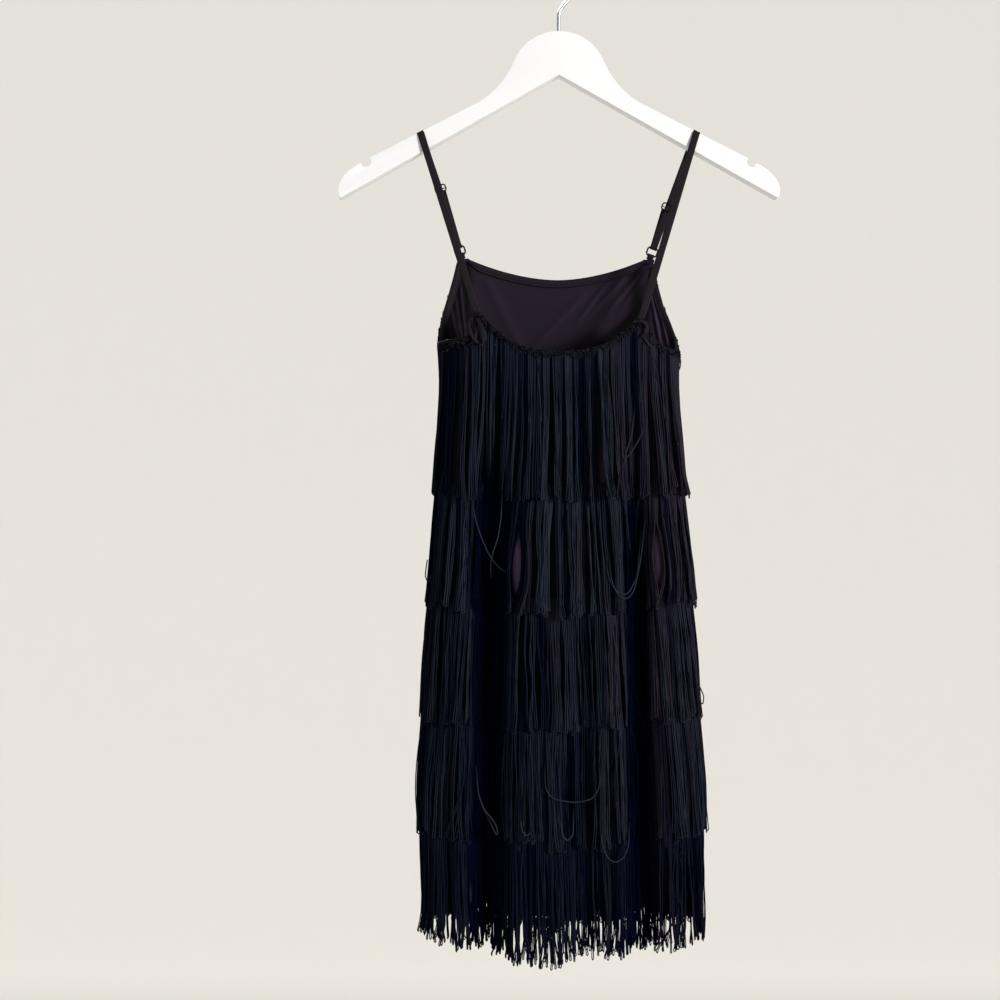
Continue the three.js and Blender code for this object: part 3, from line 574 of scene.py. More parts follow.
creaseColumns = ("at", "slant", "width", "depth", "top", "end", "lit")
backCreases = [dict(zip(creaseColumns, row)) for row in (
    (30, 0.75, 3.4, 2.2, -312, -362, 0.2),
    (38.5, 0.9, 3.2, 2.6, -306, -358, 0.28),
    (53, 0.85, 3.0, 2.4, -303, -352, 0.2),
    (64, 0.7, 2.8, 1.8, -300, -348, 0.08),
    (12, 0.95, 5.0, 1.4, -322, -392, 0.1),
    (-58, -0.5, 6.0, 1.2, -304, -395, 0.05),
    (-97, -0.1, 1.7, 2.0, -312, -385, 0.55),
    (-103, -0.16, 1.7, 2.0, -322, -390, 0.45),
    (-109, -0.22, 1.7, 2.0, -336, -392, 0.4),
    (97, -0.18, 1.7, 2.0, -312, -385, 0.4),
    (103, -0.22, 1.7, 2.0, -322, -390, 0.5),
    (109, -0.26, 1.7, 2.0, -336, -392, 0.4),
)]
clothLook = {"columns": 216, "rows": 108, "thickness": 1.1, "inset": 0.25, "bulge": 1.8, "lap": 0.8,
             "seatGap": 0.0015, "creaseMiddle": -342, "creaseStart": 14, "creaseEnd": 18}
rippleLook = {"depth": 0.5, "across": 0.23, "down": 0.03, "from": -400, "over": 80}


def drag(panel, share, height):
    # shallow creases that run in from the strap seats and the side seams
    x = sample(panel, share.ravel(), height.ravel())[0].reshape(share.shape)
    if panel is frontPanel:
        # the knit swells out a little where the strands part
        apart = sum(parted(place, x, height) for place in partings if place[0] == "front")
        look = rippleLook
        ripple = look["depth"] * np.sin(x * look["across"] + height * look["down"])
        return ripple * smooth((look["from"] - height) / look["over"]) - clothLook["bulge"] * apart
    depth = np.zeros_like(x)
    for crease in backCreases:
        line, fade = alongCrease(crease, x, height)
        depth += crease["depth"] * np.exp(-((line / crease["width"]) ** 2)) * fade
    return depth


def hump(distance, reach):
    return np.clip(1 - (distance / reach) ** 2, 0, 1)


def parted(place, x, height):
    _, _, at, middle, wide, tall, _ = place
    return hump(x - at, wide * 2) * hump(height - middle, tall)


def alongCrease(crease, x, height):
    look = clothLook
    line = x - crease["at"] - (height - look["creaseMiddle"]) * crease["slant"]
    started = smooth((crease["top"] - height) / look["creaseStart"])
    return line, started * smooth((height - crease["end"]) / look["creaseEnd"])


# light on the knit: through the fringe, above its heading, and inside the back out of the light,
# beside each armhole and under a line down from the right strap
knitShade = {"low": 0.1, "high": 0.45, "highFrom": -400, "highOver": 30, "foldDark": 0.9, "foldDepth": 18,
             "leftFrom": -82, "leftFull": -92, "leftDark": 0.88, "bandAt": 80, "bandWidth": 8.5,
             "bandDark": 0.9, "lineAt": (70.8, -347.4), "lineSlope": 0.83, "lineSoft": (3, 9),
             "lineFrom": (22, 14), "lineTo": (96, 8), "lineDark": 0.92, "darkest": 0.95, "rightFrom": 91,
             "rightOver": 5, "rightLit": 0.3, "brightest": 1.8}


def litTone(panel, x, h, fold):
    look = knitShade
    high = smooth((h - look["highFrom"]) / look["highOver"])
    tone = (look["low"] + look["high"] * high) * (1 - look["foldDark"] * smooth(fold / look["foldDepth"]))
    for place in partings:
        if (place[0] == "front") == (panel is frontPanel):
            tone += place[-1] * parted(place, x, h)
    if panel is backPanel:
        left = smooth((look["leftFrom"] - x) / (look["leftFrom"] - look["leftFull"]))
        band = np.exp(-(((x - look["bandAt"]) / look["bandWidth"]) ** 2))
        line = look["lineAt"][1] + (x - look["lineAt"][0]) * look["lineSlope"]
        under = (smooth((line - h + look["lineSoft"][0]) / look["lineSoft"][1])
                 * smooth((x - look["lineFrom"][0]) / look["lineFrom"][1])
                 * smooth((look["lineTo"][0] - x) / look["lineTo"][1]))
        dark = look["leftDark"] * left + look["bandDark"] * band + look["lineDark"] * under
        tone *= 1 - high * np.clip(dark, 0, look["darkest"])
        tone += look["rightLit"] * high * smooth((x - look["rightFrom"]) / look["rightOver"])
        # the raised side of each crease catches the light
        for crease in backCreases:
            line, fade = alongCrease(crease, x, h)
            raised = (line - crease["width"] * 0.5) / (crease["width"] * 0.6)
            tone += crease["lit"] * fade * np.exp(-(raised**2))
    return np.clip(tone, 0, look["brightest"])


def clothPiece(name, panel):
    look = clothLook
    seats = [shareAt(panel, sign * reach) for sign, side in ((-1, "left"), (1, "right"))
             for reach in (panel[side]["inner"], *[r for r, _ in panel[side]["armhole"][:-1]])]
    even = np.linspace(seamShare, 1 - seamShare, look["columns"])
    even = [e for e in even if min(abs(e - s) for s in seats) > look["seatGap"]]
    shares = np.array(sorted([*even, *seats]))
    tops = edgeAt(panel, shares)
    down = np.linspace(0, 1, look["rows"])[:, None] ** 2  # closest rows where the creases are
    heights = tops + (hemAt(shares) - tops) * down
    share = np.broadcast_to(shares, heights.shape)
    inset = look["inset"] + drag(panel, share, heights)
    outer = inCloth(panel, share, heights, inset)
    inner = inCloth(panel, share, heights, inset + look["thickness"])
    if panel is frontPanel:
        # at both side seams the front is lapped just inside the back
        for wall in (outer, inner):
            for edge, inward in ((0, 1), (-1, -1)):
                wall[:, edge] += (inward * look["lap"] / 2, look["lap"], 0)
    piece = shell(name, outer, inner, knitBlack)
    found = sample(panel, share.ravel(), heights.ravel())
    addValues(piece.data, "tone", np.tile(litTone(panel, found[0], heights.ravel(), found[4]), 2))
    return piece


clothFront = settle(clothPiece("clothFront", frontPanel), "knit", "front_panel")
clothBack = settle(clothPiece("clothBack", backPanel), "knit", "back_panel")
print("cloth made")


bindingLook = {"width": 6.5, "thickness": 1.1, "gap": 0.3, "armWidth": 3.2, "armBackWidth": 5.6,
               "armGap": 0.65, "taper": 0.2, "taperOver": 14, "endInset": 0.003, "neckCount": 60,
               "armCount": 22, "widerFrom": 12, "widerOver": 30}


def edgeRun(panel, low, high, count):
    shares = np.linspace(low, high, count)
    heights = edgeAt(panel, shares)
    points = inCloth(panel, shares, heights, 0.0)
    nx, ny = sample(panel, shares, heights)[5:7]
    return points, np.stack([nx, ny, np.zeros_like(nx)], -1)


def bindingSection(width, gap):
    # folded over the edge, with a stitched groove above the rolled lower edge
    thickness = bindingLook["thickness"]
    reach = tube["cloth"] + gap
    face, lip = reach + thickness, gap + thickness
    return [(-0.1, -lip + 0.35), (0.3, -lip + 0.05), (reach * 0.5, -lip - 0.1), (face - 0.3, -lip + 0.05),
            (face, -lip + 0.4), (face + 0.12, width * 0.3), (face, width * 0.58), (face - 0.45, width * 0.66),
            (face + 0.05, width * 0.74), (face + 0.2, width * 0.86), (face - 0.1, width * 0.97),
            (reach + thickness / 2 * 0.6, width), (reach, width * 0.8), (reach, -gap), (0.0, -gap)]


def bindingPiece(name, points, outward, width, gap):
    look = bindingLook
    ends = [np.linalg.norm(points - points[end], axis=1) for end in (0, -1)]
    taper = look["taper"] + (1 - look["taper"]) * np.clip(np.minimum(*ends) / look["taperOver"], 0, 1)
    widths = np.broadcast_to(width, taper.shape)
    sections = np.array([bindingSection(w * t, gap) for w, t in zip(widths, taper)])
    across, up = framesAlong(points, -outward)
    if np.mean(up[:, 2]) > 0 and np.ndim(width) == 0:
        points, outward, sections = points[::-1], outward[::-1], sections[::-1]
        across, up = framesAlong(points, -outward)
    return sweptPiece(name, points, across, up, sections, tapeBlack)


def neckRun(panel):
    inset = bindingLook["endInset"]
    low, high = (shareAt(panel, reach) for reach in (-panel["left"]["inner"], panel["right"]["inner"]))
    return edgeRun(panel, low + inset, high - inset, bindingLook["neckCount"])


def armRun(side):
    sign, seam = (-1, 0) if side == "left" else (1, 1)
    runs = []
    for panel in (frontPanel, backPanel):
        seat = shareAt(panel, sign * panel[side]["outer"]) + sign * bindingLook["endInset"]
        runs.append(edgeRun(panel, seat, seam, bindingLook["armCount"]))
    points, outward = (np.concatenate([near, far[::-1][1:]]) for near, far in zip(*runs))
    outward /= np.linalg.norm(outward, axis=1, keepdims=True)
    if side == "right":
        points, outward = points[::-1], outward[::-1]
    return points, outward


def makeBindings():
    look = bindingLook
    for place, panel in (("front", frontPanel), ("back", backPanel)):
        piece = bindingPiece("neckBinding" + place.title(), *neckRun(panel), look["width"], look["gap"])
        settle(piece, "trim", place + "_neck_binding")
    for side in ("left", "right"):
        points, outward = armRun(side)
        above = points[:, 2] - points[:, 2].min() - look["widerFrom"]
        behind = points[:, 1] > 4
        wider = (look["armBackWidth"] - look["armWidth"]) * smooth(above / look["widerOver"]) * behind
        widths = look["armWidth"] + wider
        piece = bindingPiece(side + "ArmholeBinding", points, outward, widths, look["armGap"])
        settle(piece, "trim", side + "_armhole_binding")


def ribbonSection(width, thickness):
    w, t = width / 2, thickness / 2
    edge = w - 0.35  # the selvedges are rounded
    lower = [(-w, -t * 0.4), (-edge, -t), (-w * 0.5, -t * 0.92), (0, -t * 0.86), (w * 0.5, -t * 0.92),
             (edge, -t), (w, -t * 0.4)]
    return np.array(lower + [(-x, -y) for x, y in lower])


seatLook = {"beyond": 1.6, "width": 8.5, "rise": 0.25, "gap": 0.2, "count": 9}
slackLook = {"thickness": 0.9, "count": 25, "rounds": 5, "turn": (0.1, 0.7), "flat": (0.9, -0.15, 0.4),
             "turned": (0.2, 0.9, 0.3)}
slackFolds = [  # strips of slack binding below the front straps: width, then pixel and depth before the cloth
    (3.4, [(471, 319, 2), (469, 326, 5), (471, 334, 7), (476, 341, 7), (483, 345, 5)]),
    (3.8, [(477, 317, 4), (481, 325, 8), (485, 334, 9), (485, 342, 8), (478, 346, 6), (470, 346, 4)]),
    (2.6, [(474, 321, 3), (477, 331, 6), (475, 340, 7), (469, 345, 5)]),
    (2.8, [(446, 340, 0), (455, 343, 2), (464, 342, 4), (470, 338, 5)]),
    (3.4, [(634, 322, 3), (641, 320, 6), (647, 324, 8), (648, 331, 8), (642, 337, 6), (637, 340, 4)]),
    (2.8, [(641, 333, 4), (646, 340, 6), (650, 346, 5)]),
]


def makeSeatFolds():
    # where a strap is sewn in, the end of the binding is folded over the edge
    look = seatLook
    for place, panel in (("front", frontPanel), ("back", backPanel)):
        folds = []
        for sign, side in ((-1, "left"), (1, "right")):
            seat = panel[side]
            reaches = (seat["inner"] - look["beyond"], seat["outer"] + look["beyond"])
            ends = sorted(shareAt(panel, sign * reach) for reach in reaches)
            points, outward = edgeRun(panel, *ends, look["count"])
            points[:, 2] = seat["height"] + look["rise"]
            folds.append(bindingPiece(side + "Fold", points, outward, look["width"], look["gap"]))
        settle(joined(place + "SeatFolds", folds), "trim")


def makeSlackFolds():
    look = slackLook
    turn = np.linspace(*look["turn"], look["count"])[:, None]
    wide = np.cos(turn) * np.array(look["flat"]) + np.sin(turn) * np.array(look["turned"])
    strips = []
    for width, places in slackFolds:
        points = np.array([overFolds(*place) for place in places])
        path = evenPath(points, lengthAlong(points), look["count"], look["rounds"])
        section = ribbonSection(width, look["thickness"])
        strips.append(sweptPiece("slackFold", path, *framesAlong(path, wide), section, tapeBlack))
    settle(joined("bindingSlack", strips), "trim")


makeBindings()
makeSeatFolds()
print("bindings made")


# top of the tape (None follows the neck and armholes), lowest ends at places across,
# and hollows of the front, at a place across with a half width, where strands lie back in the shade
# lit is each tier's painted share of the light, and toRight makes its strands lighter towards the right:
# painted light from that side
fringeTiers = [
    {"name": 1, "top": None, "loops": 240, "gather": 1.2, "closed": 1, "swing": 1.6, "lit": 1.15,
     "toRight": 0.0016, "uneven": 1.8,
     "bottom": [(-120, -532), (-60, -536), (0, -538), (60, -537), (120, -531)],
     "hollows": [(-109, 8), (-39, 3.2), (22, 4.6), (36.5, 2.4), (74, 5.2)]},
    {"name": 2, "top": -519, "loops": 240, "gather": 0.85, "closed": 1, "swing": 1.6, "lit": 1.05,
     "toRight": 0.0018, "uneven": 1.9,
     "bottom": [(-120, -643), (-60, -646), (0, -648), (60, -644), (120, -638)],
     "hollows": [(-58, 4.5), (25, 2.8)]},
    {"name": 3, "top": -628, "loops": 246, "gather": 0.62, "closed": 1, "swing": 1.6, "lit": 1.0,
     "toRight": 0.0012, "uneven": 2.1,
     "bottom": [(-130, -753), (-60, -756), (0, -758), (70, -755), (130, -750)],
     "hollows": [(27, 2.4)]},
    {"name": 4, "top": -738, "loops": 250, "gather": 0.55, "closed": 1, "swing": 1.6, "lit": 0.86,
     "toRight": 0.0002, "uneven": 2.2,
     "bottom": [(-140, -862), (-60, -866), (0, -868), (70, -866), (140, -860)],
     "hollows": [(27, 3.6)]},
    {"name": 5, "top": -850, "loops": 335, "gather": 0.2, "closed": 0.64, "swing": 2.6, "lit": 0.42,
     "toRight": -0.0014, "uneven": 3.2,
     "bottom": [(-140, -958), (-100, -966), (-60, -969), (-20, -981), (10, -975), (40, -967), (100, -966),
                (140, -963)],
     "hollows": [(25, 3.8), (-84, 2.5)]},
]
cordLook = {
    "legStations": 13, "radius": 0.64, "sides": 4,
    # places of the roots along the tape, and hanks of neighbours that gather
    "roots": (0.004, 0.996), "rootUneven": 0.0007, "rootEnds": (0.0025, 0.9975), "top": (0.5, 3.0),
    "hank": (0.02, 0.066), "pull": (0.18, 0.6), "rootPull": 0.5, "rearPull": 0.1, "lean": 0.0045,
    "lift": 1.0, "short": 1.8, "shortest": -6, "longest": 9, "bendDrop": 5,
    "waves": ((0.0022, 1.5, 5), (0.0011, 5, 12)),
    "strays": 0.05, "strayReach": 0.018, "strayWave": (0.6, 1.2),
    # how far out from the knit a strand hangs
    "rootOut": 2.0, "tipOut": 4.4, "settled": 1.3, "depth": 3.4, "crown": 1.8, "rootDepth": 0.15,
    "rear": 0.36, "rearOut": 1.2, "nearSeam": 0.08, "seamOut": 0.2, "hollowIn": 0.7, "nearest": 1.5,
    # the two legs of a loop and the bend at its end
    "legGap": (0.75, 1.25), "pinch": 0.25, "twist": 0.25, "legOut": 0.8, "legEnds": (0.0016, 0.9984),
    "swing": 0.9, "kick": 1.0, "sag": (1.4, 3.6), "belly": (1.0, 1.7), "endTurn": (20, 55, 90, 125, 160),
}
# painted light and shade on the strands, with their own random tone, and their cast from blue to plum
toneLook = {"middle": 0.52, "spread": 0.3, "byLayer": 0.4, "byHank": 0.15, "rearDark": 0.32, "darkest": 0.02,
            "hollowDark": 0.9, "leftDark": 0.4, "leftOver": 0.13, "foldDark": 0.99, "foldFrom": 8,
            "foldOver": 8}
tintLook = {"middle": 0.42, "toRight": 0.0024, "byTier": 0.06, "spread": 0.34, "byHank": 0.16}
tapeLook = {"inner": 1.0, "outer": 2.6, "height": 8.0, "columns": 150}


def tapeTop(panel, tier, share):
    return edgeAt(panel, share) + 1.0 if tier["top"] is None else np.full(np.shape(share), float(tier["top"]))


def rowAt(panel, height):
    row = int(round((gridLook["top"] - height) / gridLook["step"]))
    return panel["grid"][row][0], panel["lengths"][row]


def shareAtHeight(panel, across, height):
    return np.interp(across, rowAt(panel, height)[0], evenShares)


def hankCuts(draw):
    # hanks: neighbouring loops lean together, with narrow gaps between them
    cuts = [0.0]
    while cuts[-1] < 1:
        cuts.append(cuts[-1] + draw.uniform(*cordLook["hank"]))
    return np.array(cuts)


def pushedApart(panel, side, tier, root, middle, height, length):
    # each strand keeps to its own side of a parting
    for place, number, x, z, wide, tall, _ in partings:
        if place == side and number == tier["name"]:
            at, wide = shareAtHeight(panel, x, z), wide / length
            own = np.sign(root - at)[:, None]
            reach = (middle - at) * own
            pushed = wide * np.exp(-np.maximum(reach, 0) / (2.4 * wide)) + np.maximum(-reach, 0)
            middle = middle + own * hump(height - z, tall) * pushed
    return middle


def loopPaths(panel, side, tier, draw):
    look = cordLook
    count, stations = tier["loops"], look["legStations"]
    column, deep = (count, 1), (count, 1, 1)
    root = np.linspace(*look["roots"], count) + draw.normal(0, look["rootUneven"], count)
    root = np.clip(root, *look["rootEnds"])
    cuts = hankCuts(draw)
    hank = np.searchsorted(cuts, root, side="right") - 1
    number = len(cuts) - 1
    middles, halves = (cuts[:-1] + cuts[1:]) / 2, (cuts[1:] - cuts[:-1]) / 2
    layer = draw.random(column)
    rear = layer < look["rear"]  # these lie close to the knit and don't gather
    nearSeam = smooth(np.minimum(root, 1 - root) / look["nearSeam"])[:, None]  # there they hang closer
    pull = (draw.uniform(*look["pull"], number) * tier["gather"])[hank][:, None]
    pull = pull * np.where(rear, look["rearPull"], nearSeam)
    lean = draw.normal(0, look["lean"], number)[hank][:, None] * nearSeam
    lift = draw.normal(0, look["lift"], number)[hank][:, None]
    short = draw.normal(0, look["short"], number)[hank]
    beside = (root - middles[hank])[:, None]
    t = np.linspace(0, 1, stations)[None]
    widths, length = rowAt(panel, tier["bottom"][0][1])
    wave = sum(draw.normal(0, size, column) * np.sin(t * draw.uniform(low, high, column)
                                                     + draw.uniform(0, 6.3, column))
               for size, low, high in look["waves"])
    drawnIn = 1 - pull * (look["rootPull"] + (1 - look["rootPull"]) * smooth(t * look["settled"]))
    middle = middles[hank][:, None] + beside * drawnIn + lean * t**1.5 + wave * smooth(t * 2)
    stray = (draw.random(column) < look["strays"]) * draw.normal(0, look["strayReach"], column)
    middle = middle + stray * np.sin(t * math.pi * draw.uniform(*look["strayWave"], column))
    crown = 1 - (beside / halves[hank][:, None]) ** 2
    out = (look["rootOut"] + (look["tipOut"] - look["rootOut"]) * smooth(t * look["settled"])
           + (layer * look["depth"] + lift + crown * look["crown"])
           * (look["rootDepth"] + (1 - look["rootDepth"]) * t))
    out = np.where(rear, look["rootOut"] + look["rearOut"] * t, out)
    out = look["rootOut"] + (out - look["rootOut"]) * (look["seamOut"] + (1 - look["seamOut"]) * nearSeam)
    across = np.interp(root, evenShares, widths)
    hollow = sum(np.exp(-(((across - at) / wide) ** 4)) for at, wide in tier["hollows"]) * (side == "front")
    out -= (out - look["rootOut"]) * look["hollowIn"] * hollow[:, None]
    top = tapeTop(panel, tier, root) - draw.uniform(*look["top"], count)
    uneven = np.clip(short + draw.normal(0, tier["uneven"], count), look["shortest"], look["longest"])
    low = np.interp(across, *zip(*tier["bottom"])) + look["bendDrop"] + uneven
    height = top[:, None] + (low - top)[:, None] * t
    middle = pushedApart(panel, side, tier, root, middle, height, length)
    # the two legs of a loop twist round each other a little, and meet in a small bend
    turn = draw.integers(-2, 3, column) * math.pi * smooth(t) + draw.normal(0, look["twist"], column) * t
    apart = (draw.uniform(*look["legGap"], column) * (1 - look["pinch"] * np.sin(t * math.pi))
             * (1 - (1 - tier["closed"]) * smooth(t * 2)))
    legs = []
    for sign in (1, -1):
        share = np.clip(middle + sign * apart * np.cos(turn) / length, *look["legEnds"])
        off = np.maximum(out + sign * apart * look["legOut"] * np.sin(turn), look["nearest"])
        legs.append(offCloth(panel, share, height, off))
    free = nearSeam[..., None]
    swing = (draw.normal(0, look["swing"], deep) * free * smooth((t - 0.86) / 0.14)[..., None]
             * np.array([tier["swing"], 0, 0]))
    kick = (np.abs(draw.normal(0, look["kick"], deep)) * free * smooth((t - 0.84) / 0.16)[..., None]
            * np.array([0, panel["facing"], 0]))
    one, two = (leg + swing + kick for leg in legs)
    centre, half = (one[:, -1] + two[:, -1]) / 2, (one[:, -1] - two[:, -1]) / 2
    sag = draw.uniform(*look["sag"], deep) * np.array([0, 0, -1])
    belly = draw.uniform(*look["belly"], deep)
    ends = np.radians(look["endTurn"])[None, :, None]
    bend = centre[:, None] + half[:, None] * belly * np.cos(ends) + sag * np.sin(ends)
    paths = np.concatenate([one, bend, two[:, ::-1]], 1)
    fold = sample(panel, np.repeat(root, stations), height.ravel())[4].reshape(count, stations)

    look = toneLook
    # random tone by strand and by hank, painted shade on the rear layer that lies close to the knit, and
    # painted light on the outer layers
    tonesAndShade = look["middle"] + draw.normal(0, look["spread"], count) + (layer[:, 0] - 0.5) * look["byLayer"]
    tonesAndShade = tonesAndShade + draw.normal(0, look["byHank"], number)[hank] - look["rearDark"] * rear[:, 0]
    # painted light from the right: strands lighter towards the right, and each tier scaled by its painted
    # share of the light
    tonesAndShade = np.clip(tonesAndShade + across * tier["toRight"], look["darkest"], 1)[:, None] * tier["lit"]
    # painted shade on the left side, which turns away from the light, and in the hollows
    fromLeft = look["leftDark"] + (1 - look["leftDark"]) * smooth(root / look["leftOver"])
    tonesAndShade = tonesAndShade * (1 - look["hollowDark"] * hollow[:, None]) * fromLeft[:, None]
    # no light reaches the bottom of a fold
    tonesAndShade = tonesAndShade * (1 - look["foldDark"] * smooth((fold - look["foldFrom"]) / look["foldOver"]))
    tonesAndShade = np.concatenate([tonesAndShade, np.repeat(tonesAndShade[:, -1:], ends.size, 1), tonesAndShade[:, ::-1]], 1)
    look = tintLook
    tints = look["middle"] + across * look["toRight"] - tier["name"] * look["byTier"]
    tints = tints + draw.normal(0, look["spread"], count) + draw.normal(0, look["byHank"], number)[hank]
    return paths, tonesAndShade, np.clip(tints, 0, 1)


def tapeShell(name, panel, tier):
    look = tapeLook
    shares = np.linspace(seamShare, 1 - seamShare, look["columns"])
    top = tapeTop(panel, tier, shares)
    rows = np.stack([top, top - look["height"] / 2, top - look["height"]])
    share = np.broadcast_to(shares, rows.shape)
    outer, inner = (offCloth(panel, share, rows, look[face]) for face in ("outer", "inner"))
    piece = shell(name, outer, inner, tapeFringe)
    for key in ("tone", "tint"):
        addValues(piece.data, key, np.zeros(len(piece.data.vertices)))
    return piece


def makeFringe():
    look = cordLook
    for tier in fringeTiers:
        number = tier["name"]
        for side, panel in (("front", frontPanel), ("back", backPanel)):
            draw = np.random.default_rng(100 * number + (7 if side == "back" else 0))
            name = f"fringe{side.title()}{number}"
            loops = loopPaths(panel, side, tier, draw)
            cords = strandMesh(name, *loops, look["radius"], look["sides"], cordBlack)
            piece = joined(name, [cords, tapeShell(name + "Tape", panel, tier)])
            settle(piece, "fringe", f"fringe_{side}_{number}")
    print("fringe made")


makeFringe()

headingLook = {"spacing": 1.05, "radius": 0.42, "size": (0.7, 2.9), "rise": 0.6, "backRise": -3.0,
               "drop": 9.0, "ends": (0.003, 0.997), "uneven": 0.0016, "within": (0.002, 0.998),
               "seatSpread": 0.012, "turn": (3.5, 6.0), "squash": 0.7, "tone": (0.33, 0.3),
               "tint": (0.5, 0.3), "atSeats": 60, "belowArm": 2.6, "arm": (86, 8), "bareArm": 0.94,
               "nearSeam": 0.05, "close": 1.3, "out": (2.4, 4.6), "stations": 7, "sides": 4}


def unitRows(vectors):
    return vectors / np.linalg.norm(vectors, axis=2, keepdims=True)


def knotPaths(panel, draw):
    # small knots and loops of the braided heading, along the neck and the armholes
    look = headingLook
    along = int(panel["lengths"][25] / look["spacing"]) * 2
    share = [np.linspace(*look["ends"], along) + draw.normal(0, look["uneven"], along)]
    for sign, side in ((-1, "left"), (1, "right")):  # bunched where the straps are sewn in
        seat = panel[side]
        middle = shareAt(panel, sign * (seat["inner"] + seat["outer"]) / 2)
        share.append(middle + draw.normal(0, look["seatSpread"], look["atSeats"]))
    share = np.clip(np.concatenate(share), *look["within"])
    across = np.interp(share, evenShares, panel["chest"])
    byArm = smooth((np.abs(across) - look["arm"][0]) / look["arm"][1])
    if panel is backPanel:  # the binding of the left armhole is bare
        kept = draw.random(len(share)) > look["bareArm"] * byArm * (across < 0)
        share, byArm = share[kept], byArm[kept]
    count = len(share)
    deep = (count, 1, 1)
    rise = (look["rise"] if panel is frontPanel else look["backRise"]) - look["belowArm"] * byArm
    fallen = draw.uniform(0, look["drop"], count) * draw.random(count) ** 0.7
    height = edgeAt(panel, share) + rise - fallen
    height += 0.9 * np.sin(share * 211) * np.sin(share * 97)
    nearSeam = smooth(np.minimum(share, 1 - share) / look["nearSeam"])  # at the side seams they lie close
    out = look["close"] + (draw.uniform(*look["out"], count) - look["close"]) * nearSeam
    centre = offCloth(panel, share, height, out)
    size = draw.uniform(*look["size"], deep) * draw.uniform(0.6, 1, deep)
    size = size * (0.4 + 0.6 * nearSeam)[:, None, None]
    steps = np.linspace(0, 1, look["stations"])[None, :, None]
    angles = steps * draw.uniform(*look["turn"], deep) + draw.uniform(0, 6.3, deep)
    one = unitRows(draw.normal(0, 1, (count, 1, 3)))
    two = unitRows(np.cross(one, draw.normal(0, 1, (count, 1, 3))))
    paths = centre[:, None] + size * (one * np.cos(angles) + two * np.sin(angles) * look["squash"])
    return paths, *(np.clip(draw.normal(*look[key], count), 0, 1) for key in ("tone", "tint"))


def makeHeading():
    look = headingLook
    for side, panel, seed in (("front", frontPanel, 31), ("back", backPanel, 37)):
        knots = knotPaths(panel, np.random.default_rng(seed))
        piece = strandMesh(f"headingKnots{side.title()}", *knots, look["radius"], look["sides"], knotBlack)
        settle(piece, "fringe")


def overFolds(px, py, out):
    # the point that the camera sees at a pixel, where the cloth would be if it had no folds, and out from it
    eye, centre = photoView["eye"], photoView["middlePixel"]
    power = 2 / tube["squareness"]
    y = -50.0
    for _ in range(8):
        scale = (y - eye[1]) / photoView["focalPixels"]
        x, z = eye[0] + (px - centre) * scale, eye[2] - (py - centre) * scale
        left, right, front = (float(easedColumn(column, z)) for column in (1, 2, 3))
        cosine = min(abs((x - (left + right) / 2) / ((right - left) / 2)), 0.999) ** (1 / power)
        y = tube["seamDepth"] - (1 - cosine**2) ** (power / 2) * front - out
    return np.array([x, y, z])


threadLook = {"tucked": 5, "count": 61, "rounds": 14, "sides": 6, "lit": (0.75, 1), "ends": 0.12,
              "tint": 0.35}
looseThreads = [  # how far in front of the cloth each thread hangs, and the pixels that it passes
    (10, [(545, 766), (545, 790), (552, 799), (575, 803), (594, 799), (600, 786), (600, 764)]),
    (9.5, [(600, 822), (602, 845), (607, 858), (615, 864), (624, 858), (629, 845), (630, 824)]),
    (4, [(476, 766), (478, 794), (484, 810), (495, 822), (499, 834), (497, 838), (492, 826), (481, 806)]),
    (8, [(471, 494), (475, 518), (480, 534), (486, 549), (492, 560), (500, 569), (505, 572)]),
    (6, [(502, 494), (501, 518), (498, 538), (493, 552), (490, 564), (491, 578)]),
    (9, [(609, 552), (611, 580), (617, 595), (626, 602), (634, 593), (641, 558), (646, 516)]),
    (8, [(606, 552), (608, 578), (616, 592), (627, 597), (637, 577), (642, 530)]),
    (7, [(647, 416), (641, 436), (631, 453), (623, 462), (622, 445), (622, 412)]),
    (7.5, [(635, 408), (632, 434), (626, 453), (622, 478)]),
    (7, [(427, 560), (425, 576), (428, 583), (432, 575), (432, 556)]),
    (7, [(699, 684), (704, 696), (703, 705), (698, 700), (697, 682)]),
    (4, [(677, 352), (681, 360), (680, 369), (676, 372), (673, 362)]),
    (9, [(560, 808), (562, 836), (567, 842), (573, 836), (574, 810)]),
    (9, [(519, 806), (522, 832), (527, 837), (533, 829), (534, 808)]),
]


def makeLooseThreads():
    look = threadLook
    paths = []
    for out, pixels in looseThreads:
        points = np.array([overFolds(px, py, out) for px, py in pixels])
        length = lengthAlong(points)
        # both ends go back in among the strands
        points[[0, -1], 1] += look["tucked"]
        paths.append(evenPath(points, length, look["count"], look["rounds"]))
    t = np.linspace(0, 1, look["count"])
    shade = look["ends"] + (1 - look["ends"]) * smooth(np.minimum(t, 1 - t) / 0.3)
    tonesAndShade = np.linspace(*look["lit"], len(paths))[:, None] * shade
    piece = strandMesh("looseThreads", np.array(paths), tonesAndShade, tonesAndShade * look["tint"], cordLook["radius"],
                       look["sides"], knotBlack)
    settle(piece, "fringe")


makeHeading()
makeLooseThreads()
makeSlackFolds()
print("heading and loose threads made")

woodLook = {"thickness": 12, "edge": 2.0, "domeRadius": 48, "domeEnd": 66, "slope": 27.2,
            "armStart": (83, 72.6), "tipStart": (196, 130.7), "tip": (220, 158), "corner": (217.5, 166),
            "crotch": 43.5,
            "notch": (192.2, 1.7, 5.0), "smooth": 35}
hookLook = {"wire": 3.8, "radius": 18.8, "stem": 21, "lean": 38, "tip": 205, "inWood": 16, "smooth": 50}

